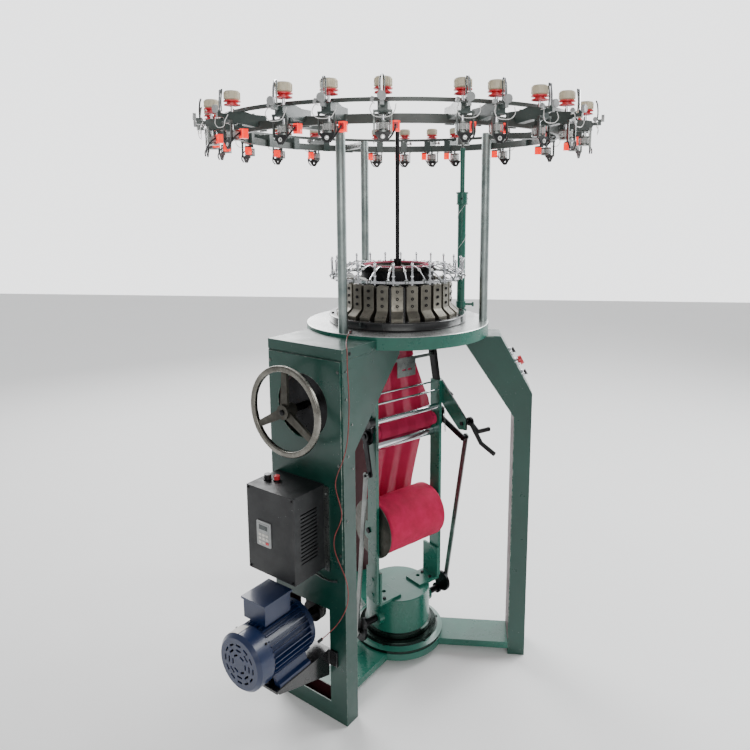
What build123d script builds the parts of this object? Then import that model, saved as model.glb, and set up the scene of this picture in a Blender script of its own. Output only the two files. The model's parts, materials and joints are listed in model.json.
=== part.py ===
from build123d import *
import os
from math import radians, cos, sin, atan2, degrees, hypot, tan, pi

os.makedirs("parts", exist_ok=True)

# ---------------------------------------------------------------- dimensions
# Z axis: the needle cylinder's axis, floor at z = 0. Legs at azimuths -120, 0 and 120.
AZ_A, AZ_B, AZ_C = -120.0, 0.0, 120.0
AZ_TD = 45.0                      # azimuth of the take-down roller axes at rest

TABLE_R, TABLE_TOP, RIM_H, TOP_T = 322.0, 1250.0, 43.0, 12.0
BORE_R = 140.0                    # opening in the table and the cam ring

LEG_OUT, LEG_IN, LEG_HW = 476.0, 415.0, 65.0     # plain legs: radii and half width
LEG_KNEE_IN, LEG_KNEE_OUT = 918.0, 1005.0        # where the leg turns inwards
LEG_TOP_OUT, LEG_TOP_IN = 363.0, 222.0
LEG_WALL = 5.0
ANCHOR_R, ANCHOR_HOLE = 440.0, 7.0

CAS_OUT, CAS_IN = 462.0, 407.0    # drive leg casing, front and back radii
CAS_T0, CAS_T1 = -176.0, 128.0    # its two sides (tangential)
CAS_WALL = 4.0
LID_H = 32.0
DOOR_T = 4.0
SHAFT_T, SHAFT_Z = -33.0, 1043.0  # hand wheel and main drive shaft
PORT_R = 103.0                    # round port in the door
HW_R, HW_PLANE = 142.0, 540.0
MOTOR_T, MOTOR_Z = -26.0, 342.0
MOTOR_REAR = 762.0

BEAM_TOP, BEAM_T, BEAM_HW = 48.0, 25.0, 64.0
DRUM_R, DRUM_TOP = 120.0, 224.0
RING_R = 170.0

COL_R, COL_D = 303.0, 30.0
RAIL_R0, RAIL_R1, RAIL_Z0, RAIL_Z1 = 528.0, 540.0, 1870.0, 1894.5
UP_R0, UP_R1, UP_Z0, UP_Z1 = 585.0, 595.0, 1918.0, 1928.0
WHEEL_R = 618.0
FEEDERS = [-167.0, -151.0, -133.4, -113.4, -101.0, -88.0, -69.2, -60.3, -46.5, -33.9, -12.0,
           9.0, 29.0, 51.0, 71.9, 81.3, 92.3, 103.4, 129.0, 145.0, 161.0, 177.0]

CAM_R, CAM_TOP = 243.6, 1279.0
BLOCK_R, BLOCK_TOP, N_BLOCK = 191.0, 1390.0, 24
CYL_R0, CYL_R1, CYL_TOP = 112.0, 128.0, 1433.0
FRING_R, FRING_Z, POST_TOP = 232.0, 1409.0, 1473.0

ARM_X, ARM_T, ARM_Y0, ARM_Y1 = 144.0, 12.0, -70.0, -20.0
PINK_Y, PINK_Z, PINK_R = -35.0, 862.0, 24.0
STEEL_Y, STEEL_Z, STEEL_R = -22.0, 812.0, 20.0
ROLL_Y, ROLL_Z, ROLL_R = -25.0, 503.0, 100.0
CRANK_Y, CRANK_Z = -28.0, 148.0
CRANK_R_PIN, CRANK_L_PIN = (-58.0, 192.0), (2.0, 104.0)
LEVER_R_PIN, LEVER_L_PIN = (-159.0, 810.0), (-62.0, 732.0)
RUN = 0.05                        # radial running clearance


# ---------------------------------------------------------------- placing planes
def flat(az=0.0, z=0.0):
    """Horizontal plane at height z, local x radial along azimuth az."""
    a = radians(az)
    return Plane(origin=(0, 0, z), x_dir=(cos(a), sin(a), 0), z_dir=(0, 0, 1))


def side(az, t=0.0):
    """Upright plane: local x radial, local y up. Extrusion runs towards -tangential."""
    a = radians(az)
    return Plane(origin=(-t * sin(a), t * cos(a), 0), x_dir=(cos(a), sin(a), 0), z_dir=(sin(a), -cos(a), 0))


def face(az, r, t=0.0, z=0.0):
    """Upright plane facing outwards: local x tangential, local y up, normal radial."""
    a = radians(az)
    return Plane(origin=(r * cos(a) - t * sin(a), r * sin(a) + t * cos(a), z), x_dir=(-sin(a), cos(a), 0), z_dir=(cos(a), sin(a), 0))


def td(x):
    """Plane across the take-down: local x is the take-down's own y, local y up, normal +x."""
    return face(AZ_TD, x)


def save(name, label):
    name.part.label = label
    export_step(name.part, "parts/" + label + ".step")


# ---------------------------------------------------------------- drive leg
with BuildPart() as leg_a_casing:
    with BuildSketch(side(AZ_A, CAS_T1)):
        with BuildLine():
            Polyline((CAS_OUT, 0), (CAS_OUT, 1206), (140, 1206), (CAS_IN, 912), (CAS_IN, 0), close=True)
        make_face()
    extrude(amount=CAS_T1 - CAS_T0)
    with BuildSketch(side(AZ_A, CAS_T1 - CAS_WALL)):
        with BuildLine():
            Polyline((CAS_OUT - CAS_WALL, 10), (CAS_OUT - CAS_WALL, 1210), (136, 1210), (136, 1204),
                     (CAS_IN + CAS_WALL, 913.6), (CAS_IN + CAS_WALL, 10), close=True)
        make_face()
    extrude(amount=CAS_T1 - CAS_T0 - 2 * CAS_WALL, mode=Mode.SUBTRACT)
    # room for the main gear and its pinion
    with BuildSketch(flat(0, 1000)):
        Circle(212)
    extrude(amount=300, mode=Mode.SUBTRACT)
    with BuildSketch(side(AZ_A, 100)):
        with BuildLine():
            Polyline((0, 1002), (300, 1002), (318, 1022), (318, 1215), (0, 1215), close=True)
        make_face()
    extrude(amount=245, mode=Mode.SUBTRACT)
    # opening behind the door, window for the motor (through both walls)
    with BuildSketch(face(AZ_A, 440, -24, 880)):
        Rectangle(250, 560)
    extrude(amount=40, mode=Mode.SUBTRACT)
    with BuildSketch(face(AZ_A, 380, -27.5, 222.5)):
        Rectangle(175, 325)
    extrude(amount=120, mode=Mode.SUBTRACT)
    # cross rails that carry the shaft bearings
    with BuildSketch(face(AZ_A, 360, -24, SHAFT_Z)):
        Rectangle(CAS_T1 - CAS_T0 - 4, 44)
        with Locations((SHAFT_T + 24, 0)):
            Circle(19.5, mode=Mode.SUBTRACT)
    extrude(amount=12)
    # anchor hole
    with Locations(flat(AZ_A, 0) * Pos(ANCHOR_R, 0, 5)):
        Cylinder(ANCHOR_HOLE, 30, mode=Mode.SUBTRACT)
save(leg_a_casing, "leg_a_casing")

with BuildPart() as leg_a_covers:
    # lid: a shallow pressed cap, cut round the table
    with BuildSketch(flat(AZ_A, 1207)):
        with Locations(((150 + CAS_OUT + 2) / 2, (CAS_T0 + CAS_T1) / 2)):
            Rectangle(CAS_OUT + 2 - 150, CAS_T1 - CAS_T0 + 4)
        Circle(TABLE_R + 2.5, mode=Mode.SUBTRACT)
    extrude(amount=LID_H)
    with BuildSketch(flat(AZ_A, 1206)):
        with Locations(((150 + CAS_OUT) / 2, (CAS_T0 + CAS_T1) / 2)):
            Rectangle(CAS_OUT - 2 - 150, CAS_T1 - CAS_T0)
        Circle(TABLE_R + 5.5, mode=Mode.SUBTRACT)
    extrude(amount=LID_H - 2, mode=Mode.SUBTRACT)
    # door plate with the round port, standing off the casing front
    with BuildSketch(face(AZ_A, CAS_OUT, -26, 882)):
        Rectangle(298, 640)
        with Locations((SHAFT_T + 26, SHAFT_Z - 882)):
            Circle(PORT_R, mode=Mode.SUBTRACT)
    extrude(amount=DOOR_T)
save(leg_a_covers, "leg_a_covers")

# ---------------------------------------------------------------- plain legs
with BuildPart() as plain_legs:
    for az in (AZ_B, AZ_C):
        with BuildSketch(side(az, LEG_HW)):
            with BuildLine():
                Polyline((LEG_OUT, 0), (LEG_OUT, LEG_KNEE_OUT), (LEG_TOP_OUT, 1207), (LEG_TOP_IN, 1207),
                         (LEG_IN, LEG_KNEE_IN), (LEG_IN, 0), close=True)
            make_face()
        extrude(amount=2 * LEG_HW)
        with BuildSketch(side(az, LEG_HW - LEG_WALL)):
            with BuildLine():
                Polyline((LEG_OUT - 5, 10), (LEG_OUT - 5, LEG_KNEE_OUT - 2.5), (LEG_TOP_OUT - 3, 1202), (LEG_TOP_IN + 9.5, 1202),
                         (LEG_IN + 5, LEG_KNEE_IN + 1.5), (LEG_IN + 5, 10), close=True)
            make_face()
        extrude(amount=2 * (LEG_HW - LEG_WALL), mode=Mode.SUBTRACT)
        with Locations(flat(az, 0) * Pos(ANCHOR_R, 0, 5)):
            Cylinder(ANCHOR_HOLE, 30, mode=Mode.SUBTRACT)
save(plain_legs, "plain_legs")

# ---------------------------------------------------------------- base
with BuildPart() as base_beams:
    with BuildSketch(Plane.XY.offset(BEAM_TOP - BEAM_T)):
        Circle(RING_R + 2)
        with Locations(flat(AZ_A) * Pos(CAS_IN / 2, 0, 0)):
            Rectangle(CAS_IN, 2 * BEAM_HW)
        for az in (AZ_B, AZ_C):
            with Locations(flat(az) * Pos(LEG_IN / 2, 0, 0)):
                Rectangle(LEG_IN, 2 * BEAM_HW)
    extrude(amount=BEAM_T)
save(base_beams, "base_beams")

with BuildPart() as base_ring:
    # greasy gear casting under the drum, with the fixed worm post
    with BuildSketch(Plane.XZ):
        with BuildLine():
            Polyline((0, 48), (RING_R, 48), (RING_R, 58), (152, 66), (146, 74), (128, 74), (128, 56), (24, 56), (24, 70), (10, 78),
                     (10, 188), (0, 188), close=True)
        make_face()
    revolve(axis=Axis.Z)
save(base_ring, "base_ring")

# ---------------------------------------------------------------- table and cams
with BuildPart() as table_bed:
    with BuildSketch(Plane.XY.offset(TABLE_TOP - TOP_T)):
        Circle(TABLE_R)
        Circle(BORE_R, mode=Mode.SUBTRACT)
    extrude(amount=TOP_T)
    with BuildSketch(Plane.XY.offset(TABLE_TOP - RIM_H)):
        Circle(TABLE_R)
        Circle(TABLE_R - 12, mode=Mode.SUBTRACT)
    extrude(amount=RIM_H - TOP_T)
    with Locations(Pos(225.0, 205.0, TABLE_TOP - 6)):
        Cylinder(9, 30, mode=Mode.SUBTRACT)
    chamfer(table_bed.edges().filter_by(GeomType.CIRCLE).filter_by(lambda e: abs(e.radius - TABLE_R) < 0.1).group_by(Axis.Z)[-1], 1.5)
save(table_bed, "table_bed")

with BuildPart() as cam_ring:
    with BuildSketch(Plane.XZ):
        with BuildLine():
            Polyline((BORE_R, TABLE_TOP), (CAM_R - 4, TABLE_TOP), (CAM_R, TABLE_TOP + 5), (CAM_R, CAM_TOP - 3), (CAM_R - 3, CAM_TOP),
                     (176, CAM_TOP), (176, 1384), (134, 1384), (134, 1360), (BORE_R, 1350), close=True)
        make_face()
    revolve(axis=Axis.Z)
save(cam_ring, "cam_ring")

with BuildPart() as cam_blocks:
    for i in range(N_BLOCK):
        az = -85.0 + i * 360.0 / N_BLOCK
        with BuildSketch(side(az, 19.5)):
            with BuildLine():
                Polyline((176.6, CAM_TOP), (216, CAM_TOP), (216, CAM_TOP + 9), (194, 1306), (BLOCK_R, 1311),
                         (BLOCK_R, BLOCK_TOP), (176.6, BLOCK_TOP), close=True)
            make_face()
        extrude(amount=39)
save(cam_blocks, "cam_blocks")

with BuildPart() as feeder_ring:
    with BuildSketch(Plane.XY.offset(FRING_Z - 4)):
        Circle(FRING_R + 4.5)
        Circle(FRING_R - 4.5, mode=Mode.SUBTRACT)
        for i in range(N_BLOCK):
            with Locations(flat(-88.0 + i * 360.0 / N_BLOCK) * Pos(FRING_R, 0, 0)):
                Circle(3.0 + RUN, mode=Mode.SUBTRACT)
    extrude(amount=8)
save(feeder_ring, "feeder_ring")

with BuildPart() as ring_posts:
    # one upright post through the ring for each feed, with a collar above it
    for i in range(N_BLOCK):
        az = -88.0 + i * 360.0 / N_BLOCK
        with Locations(flat(az, 0) * Pos(FRING_R, 0, 0)):
            with Locations((0, 0, (FRING_Z - 9 + POST_TOP) / 2)):
                Cylinder(3.0, POST_TOP - FRING_Z + 9)
            with Locations((0, 0, FRING_Z + 6.5)):
                Cylinder(5.5, 5)
save(ring_posts, "ring_posts")

with BuildPart() as ring_brackets:
    for i in range(6):
        az = -85.0 + i * 60.0
        with BuildSketch(side(az, 6)):
            with BuildLine():
                Polyline((180, BLOCK_TOP), (191, BLOCK_TOP), (200, BLOCK_TOP + 10), (FRING_R + 3, BLOCK_TOP + 10), (FRING_R + 3, FRING_Z - 4),
                         (FRING_R - 6, FRING_Z - 4), (FRING_R - 8, BLOCK_TOP + 15), (197, BLOCK_TOP + 15), (187, BLOCK_TOP + 5), (180, BLOCK_TOP + 5), close=True)
            make_face()
        extrude(amount=12)
save(ring_brackets, "ring_brackets")

# ---------------------------------------------------------------- columns and creel
with BuildPart() as columns:
    for az in (AZ_A, AZ_B, AZ_C):
        with Locations(flat(az, 0) * Pos(COL_R, 0, (TABLE_TOP + 1893) / 2)):
            Cylinder(COL_D / 2, 1893 - TABLE_TOP)
        with BuildSketch(face(az, COL_R, 0, (RAIL_Z0 + RAIL_Z1) / 2)):
            Rectangle(26, 20)
        extrude(amount=RAIL_R0 - 4 - COL_R)
        with BuildSketch(flat(az, RAIL_Z0 - 4)):
            with Locations((RAIL_R0 - 5, 0)):
                Rectangle(9.5, 70)
            Circle(RAIL_R0 - 0.2, mode=Mode.INTERSECT)
        extrude(amount=RAIL_Z1 - RAIL_Z0 + 8)
save(columns, "columns")

for nm, r0, r1, z0, z1 in (("creel_rail_lower", RAIL_R0, RAIL_R1, RAIL_Z0, RAIL_Z1), ("creel_rail_upper", UP_R0, UP_R1, UP_Z0, UP_Z1)):
    with BuildPart() as rail:
        with BuildSketch(Plane.XY.offset(z0)):
            Circle(r1)
            Circle(r0, mode=Mode.SUBTRACT)
        extrude(amount=z1 - z0)
    save(rail, nm)

# one feeder, built on azimuth 0, then copied round the rails
with BuildPart() as feeder_proto:
    with BuildSketch(side(0, 13)):
        with BuildLine():
            Polyline((RAIL_R0 - 12, 1868), (RAIL_R0 - 3, 1868), (RAIL_R0 - 3, 1895.2), (RAIL_R1 + 3, 1895.2), (RAIL_R1 + 3, 1884),
                     (RAIL_R1 + 12, 1878), (600, 1884), (640, 1884), (640, 1912), (596, 1917.7), (583, 1917.7), (560, 1912),
                     (RAIL_R0 - 12, 1912), close=True)
        make_face()
    extrude(amount=26)
    fillet(feeder_proto.edges().filter_by(Axis.Y).sort_by(Axis.X)[-2:], 5)
    with Locations((WHEEL_R, 0, 1898)):
        Cylinder(11, 34)
        Cylinder(5.0 + RUN, 60, mode=Mode.SUBTRACT)
    # two side straps and the three-cornered foot that hold the lower eyelet
    for s in (-1, 1):
        with BuildSketch(face(0, 632, s * 22, 0)):
            with BuildLine():
                Polyline((-2, 1832), (2, 1832), (2, 1890), (-2, 1890), close=True)
            make_face()
        extrude(amount=6)
        with Locations((636, s * 17.5, 1888)):
            Box(8, 13, 6)
    with BuildSketch(face(0, 633, 0, 0)):
        with BuildLine():
            Polyline((-24, 1838), (24, 1838), (6, 1813), (-6, 1813), close=True)
        make_face()
        with Locations((0, 1826)):
            Circle(4, mode=Mode.SUBTRACT)
    extrude(amount=4)

with BuildPart() as stop_proto:
    # stop-motion: knob on a stalk, hooked sensing wire and the lamp housing
    with BuildSketch(face(0, 640, 0, 1904)):
        Rectangle(10, 10)
    extrude(amount=26)
    with BuildSketch(face(0, 666, 0, 1920)):
        Circle(11)
    extrude(amount=9)
    with BuildSketch(face(0, 656, 0, 1908)):
        Rectangle(8, 18)
    extrude(amount=10)
    with BuildSketch(side(0, 1.5)):
        with BuildLine():
            Polyline((656, 1912), (659, 1912), (657, 1972), (648, 1976), (646, 1973), (654, 1969), close=True)
        make_face()
    extrude(amount=3)

with BuildPart() as lamp_proto:
    with BuildSketch(flat(0, 1842)):
        with Locations((602, 31)):
            RectangleRounded(22, 20, 6)
    extrude(amount=26)
    with BuildSketch(flat(0, 1868)):
        with Locations((602, 24)):
            Rectangle(14, 34)
    extrude(amount=5)
    with Locations((602, 10, 1878)):
        Box(12, 6, 10.6)

with BuildPart() as wheel_proto:
    # cream toothed pulley, red flanges, spindle and the pin storage wheel, in one piece on its spindle
    with BuildSketch(Plane.XZ):
        with BuildLine():
            Polyline((0, 1972), (19, 1972), (22, 1969), (22, 1950), (19, 1948), (24, 1946), (24, 1943), (15, 1941), (15, 1938),
                     (23, 1936), (23, 1933), (12, 1931), (5, 1931), (5, 1866), (19, 1866), (19, 1862), (11, 1862), (11, 1842),
                     (19, 1842), (19, 1838), (0, 1838), close=True)
        make_face()
    revolve(axis=Axis.Z)
    with PolarLocations(22, 20):
        with Locations((0, 0, 1959)):
            Box(2.4, 2.6, 17)
    with PolarLocations(17, 10):
        with Locations((0, 0, 1852)):
            Cylinder(1.5, 21)

with BuildPart() as feeder_bodies:
    for az in FEEDERS:
        add(feeder_proto.part, rotation=(0, 0, az))
save(feeder_bodies, "feeder_bodies")

with BuildPart() as feeder_stop_motions:
    for az in FEEDERS:
        add(stop_proto.part, rotation=(0, 0, az))
        add(lamp_proto.part, rotation=(0, 0, az))
save(feeder_stop_motions, "feeder_stop_motions")

with BuildPart() as feeder_wheels:
    for az in FEEDERS:
        a = radians(az)
        with Locations(Pos(WHEEL_R * cos(a), WHEEL_R * sin(a), 0)):
            add(wheel_proto.part, rotation=(0, 0, az))
save(feeder_wheels, "feeder_wheels")

# ---------------------------------------------------------------- creel drive
TUBE = (225.0, 205.0)
with BuildPart() as drive_tube:
    # fixed telescopic housing from the table to the creel, with its foot clamp
    with Locations(Pos(*TUBE, 0)):
        with Locations((0, 0, TABLE_TOP + 5)):
            Cylinder(22, 10)
        with Locations((0, 0, (TABLE_TOP + 1655) / 2)):
            Cylinder(15.5, 1655 - TABLE_TOP)
        with Locations((0, 0, 1673)):
            Cylinder(20, 40)
        with Locations((0, 0, (1690 + 1860) / 2)):
            Cylinder(9, 1860 - 1690)
        with Locations((0, 0, TABLE_TOP + 26)):
            Cylinder(19, 24)
        with Locations((28, 0, TABLE_TOP + 26)):
            Cylinder(5, 30, rotation=(0, 90, 0))
        with Locations((46, 0, TABLE_TOP + 26)):
            Cylinder(9, 8, rotation=(0, 90, 0))
        with Locations((0, 0, 1500)):
            Cylinder(5.0 + RUN, 900, mode=Mode.SUBTRACT)
save(drive_tube, "drive_tube")

with BuildPart() as creel_shaft:
    with Locations(Pos(*TUBE, 0)):
        with Locations((0, 0, (1212 + 1905) / 2)):
            Cylinder(5.0, 1905 - 1212)
        with Locations((0, 0, 1884)):
            Cylinder(24, 26)
save(creel_shaft, "creel_shaft")

# ---------------------------------------------------------------- rotating cylinder
with BuildPart() as needle_cylinder:
    with BuildSketch(Plane.XY.offset(1234)):
        Circle(CYL_R1)
        Circle(CYL_R0, mode=Mode.SUBTRACT)
    extrude(amount=CYL_TOP - 1234)
    with PolarLocations(CYL_R1, 72):
        with Locations((0, 0, 1414)):
            Box(3.0, 4.0, 40, mode=Mode.SUBTRACT)
save(needle_cylinder, "needle_cylinder")

with BuildPart() as main_gear:
    with BuildSketch(Plane.XY.offset(1210)):
        Circle(165)
        Circle(CYL_R0, mode=Mode.SUBTRACT)
    extrude(amount=24)
save(main_gear, "main_gear")

with BuildPart() as dial:
    with BuildSketch(Plane.XY.offset(CYL_TOP)):
        Circle(121)
        Circle(92, mode=Mode.SUBTRACT)
    extrude(amount=10)
    with BuildSketch(Plane.XY.offset(CYL_TOP + 2)):
        Circle(24)
        with PolarLocations(58, 4):
            Rectangle(76, 14)
        Circle(7 + RUN, mode=Mode.SUBTRACT)
    extrude(amount=8)
save(dial, "dial")

with BuildPart() as centre_rod:
    # rod up the middle, with a nut below the dial and a boss on top of it
    with Locations((0, 0, (CYL_TOP - 8 + 1940) / 2)):
        Cylinder(7, 1940 - CYL_TOP + 8)
    with Locations((0, 0, CYL_TOP - 3)):
        Cylinder(12, 10)
    with Locations((0, 0, CYL_TOP + 22)):
        Cylinder(14, 24)
save(centre_rod, "centre_rod")

# ---------------------------------------------------------------- bearings
with BuildPart() as main_bearing:
    with BuildSketch(Plane.XY.offset(1236)):
        Circle(BORE_R - 0.1)
        Circle(CYL_R1 + 0.3, mode=Mode.SUBTRACT)
    extrude(amount=64)
save(main_bearing, "main_bearing")

with BuildPart() as thrust_ring:
    with BuildSketch(Plane.XY.offset(56)):
        Circle(100)
        Circle(60, mode=Mode.SUBTRACT)
    extrude(amount=21)
save(thrust_ring, "thrust_ring")

with BuildPart() as shaft_bush:
    with BuildSketch(face(AZ_A, 352, SHAFT_T, SHAFT_Z)):
        Circle(19)
        Circle(12 + RUN, mode=Mode.SUBTRACT)
    extrude(amount=28)
save(shaft_bush, "shaft_bush")

# ---------------------------------------------------------------- drive train in the leg
PIN_R = (210.6 ** 2 - SHAFT_T ** 2) ** 0.5
with BuildPart() as pinion_shaft:
    with Locations(flat(AZ_A, 0) * Pos(PIN_R, SHAFT_T, 0)):
        with Locations((0, 0, 1139)):
            Cylinder(10, 196.6)
        with Locations((0, 0, 1222)):
            Cylinder(45, 24)
        with Locations((0, 0, 1076)):
            Cone(24.6, 39.6, 15)
save(pinion_shaft, "pinion_shaft")

with BuildPart() as pinion_bracket:
    with BuildSketch(flat(AZ_A, 1170)):
        with Locations((PIN_R, SHAFT_T)):
            Circle(22)
        with Locations((PIN_R + 55, SHAFT_T)):
            Rectangle(110, 30)
        with Locations((PIN_R + 100, -24)):
            Rectangle(22, CAS_T1 - CAS_T0 - 2 * CAS_WALL - 1)
        with Locations((PIN_R, SHAFT_T)):
            Circle(10 + RUN, mode=Mode.SUBTRACT)
    extrude(amount=30)
save(pinion_bracket, "pinion_bracket")

with BuildPart() as main_shaft:
    with BuildSketch(face(AZ_A, PIN_R + 25, SHAFT_T, SHAFT_Z)):
        Circle(12)
    extrude(amount=HW_PLANE - 12 - PIN_R - 25)
    with BuildSketch(face(AZ_A, PIN_R + 25, SHAFT_T, SHAFT_Z)):
        Circle(24.6)
    with BuildSketch(face(AZ_A, PIN_R + 40, SHAFT_T, SHAFT_Z)):
        Circle(39.6)
    loft()
    # large belt pulley behind the port
    with BuildSketch(face(AZ_A, 420, SHAFT_T, SHAFT_Z)):
        Circle(95)
    extrude(amount=30)
    with BuildSketch(face(AZ_A, 428, SHAFT_T, SHAFT_Z)):
        Circle(95)
        Circle(86, mode=Mode.SUBTRACT)
    extrude(amount=14, mode=Mode.SUBTRACT)
save(main_shaft, "main_shaft")

with BuildPart() as handwheel:
    with BuildSketch(face(AZ_A, HW_PLANE - 7, SHAFT_T, SHAFT_Z)):
        Circle(HW_R)
        Circle(HW_R - 19, mode=Mode.SUBTRACT)
    extrude(amount=16)
    fillet(handwheel.edges().filter_by(GeomType.CIRCLE), 5)
    for ang in (88.0, 208.0, 328.0):
        with BuildSketch(face(AZ_A, HW_PLANE - 4, SHAFT_T, SHAFT_Z)):
            with Locations(Rot(0, 0, ang)):
                Polygon((12, -15), (HW_R - 12, -10), (HW_R - 12, 10), (12, 15), align=None)
        extrude(amount=9)
    with BuildSketch(face(AZ_A, HW_PLANE - 30, SHAFT_T, SHAFT_Z)):
        Circle(23)
    extrude(amount=42)
    with BuildSketch(face(AZ_A, HW_PLANE - 30, SHAFT_T, SHAFT_Z)):
        Circle(12)
    extrude(amount=18, mode=Mode.SUBTRACT)
    with BuildSketch(face(AZ_A, HW_PLANE + 3, SHAFT_T, SHAFT_Z)):
        Circle(8)
    extrude(amount=12, mode=Mode.SUBTRACT)
save(handwheel, "handwheel")

with BuildPart() as drive_belt:
    dt, dz = MOTOR_T - SHAFT_T, MOTOR_Z - SHAFT_Z
    with BuildSketch(face(AZ_A, 430.5, SHAFT_T, SHAFT_Z)) as belt_sk:
        Circle(95.5)
        with Locations((dt, dz)):
            Circle(35.5)
        make_hull()
        with BuildSketch(face(AZ_A, 430.5, SHAFT_T, SHAFT_Z), mode=Mode.SUBTRACT):
            Circle(86.5)
            with Locations((dt, dz)):
                Circle(28.5)
            make_hull()
    extrude(amount=9)
save(drive_belt, "drive_belt")

# ---------------------------------------------------------------- motor
with BuildPart() as motor_body:
    with BuildSketch(face(AZ_A, 540, MOTOR_T, MOTOR_Z)):
        Circle(73)
        for k in range(32):
            ang = k * 360.0 / 32
            with Locations(Rot(0, 0, ang) * Pos(78, 0)):
                Rectangle(18, 3.0)
    extrude(amount=158)
    with BuildSketch(face(AZ_A, 524, MOTOR_T, MOTOR_Z)):
        Circle(82)
    extrude(amount=18)
    with BuildSketch(face(AZ_A, 504, MOTOR_T, MOTOR_Z)):
        Circle(52)
    with BuildSketch(face(AZ_A, 524, MOTOR_T, MOTOR_Z)):
        Circle(76)
    loft()
    with BuildSketch(face(AZ_A, 696, MOTOR_T, MOTOR_Z)):
        Circle(82)
    extrude(amount=14)
    # feet
    for s in (-1, 1):
        with BuildSketch(face(AZ_A, 552, MOTOR_T, MOTOR_Z)):
            with BuildLine():
                Polyline((s * 44, -62), (s * 54, -62), (s * 62, -90), (s * 84, -90), (s * 84, -80), (s * 70, -78), (s * 62, -50), close=True)
            make_face()
        extrude(amount=130)
    # hollow for the rotor and bores for its shaft
    with BuildSketch(face(AZ_A, 546, MOTOR_T, MOTOR_Z)):
        Circle(48)
    extrude(amount=148, mode=Mode.SUBTRACT)
    with BuildSketch(face(AZ_A, 500, MOTOR_T, MOTOR_Z)):
        Circle(12 + RUN)
    extrude(amount=220, mode=Mode.SUBTRACT)
    # terminal box
    with BuildSketch(face(AZ_A, 580, MOTOR_T - 14, MOTOR_Z)):
        with Locations((0, 118)):
            Rectangle(92, 62)
        with Locations((6, 84)):
            Rectangle(52, 22)
    extrude(amount=104)
    with BuildSketch(face(AZ_A, 575, MOTOR_T - 14, MOTOR_Z)):
        with Locations((0, 151)):
            Rectangle(102, 7)
    extrude(amount=114)
save(motor_body, "motor_body")

with BuildPart() as motor_fan_cover:
    with BuildSketch(side(AZ_A, MOTOR_T)):
        with BuildLine():
            Polyline((704, MOTOR_Z + 83), (704, MOTOR_Z + 88), (752, MOTOR_Z + 88), (MOTOR_REAR, MOTOR_Z + 78), (MOTOR_REAR, MOTOR_Z),
                     (759, MOTOR_Z), (759, MOTOR_Z + 76), (751, MOTOR_Z + 85), (711, MOTOR_Z + 85), (711, MOTOR_Z + 83), close=True)
        make_face()
    revolve(axis=Axis(face(AZ_A, 0, MOTOR_T, MOTOR_Z).origin, face(AZ_A, 0).z_dir))
    with BuildSketch(face(AZ_A, 750, MOTOR_T, MOTOR_Z)):
        for rr, n in ((26, 6), (42, 8), (58, 12)):
            with PolarLocations(rr, n):
                SlotOverall(2 * pi * rr / n * 0.62, 5, rotation=90)
    extrude(amount=20, mode=Mode.SUBTRACT)
save(motor_fan_cover, "motor_fan_cover")

with BuildPart() as motor_rotor:
    for r0, r1, rad in ((414, 746, 12), (550, 690, 46)):
        with BuildSketch(face(AZ_A, r0, MOTOR_T, MOTOR_Z)):
            Circle(rad)
        extrude(amount=r1 - r0)
    # belt pulley
    for r0, r1, rad in ((420, 428, 36), (428, 442, 28), (442, 450, 36)):
        with BuildSketch(face(AZ_A, r0, MOTOR_T, MOTOR_Z)):
            Circle(rad)
        extrude(amount=r1 - r0)
    # cooling fan
    with BuildSketch(face(AZ_A, 722, MOTOR_T, MOTOR_Z)):
        Circle(24)
        with PolarLocations(44, 6):
            Rectangle(56, 4)
    extrude(amount=22)
save(motor_rotor, "motor_rotor")

with BuildPart() as motor_bracket:
    with BuildSketch(flat(AZ_A, MOTOR_Z - 90 - 10)):
        with Locations(((CAS_OUT + 700) / 2, MOTOR_T)):
            Rectangle(700 - CAS_OUT, 176)
    extrude(amount=10)
    with BuildSketch(face(AZ_A, CAS_OUT, -25, 226)):
        Rectangle(240, 52)
    extrude(amount=8)
    for t in (MOTOR_T - 84, MOTOR_T + 88):
        with BuildSketch(side(AZ_A, t)):
            with BuildLine():
                Polyline((CAS_OUT + 6, 244), (690, 244), (690, 236), (CAS_OUT + 6, 160), close=True)
            make_face()
        extrude(amount=4)
save(motor_bracket, "motor_bracket")

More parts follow.
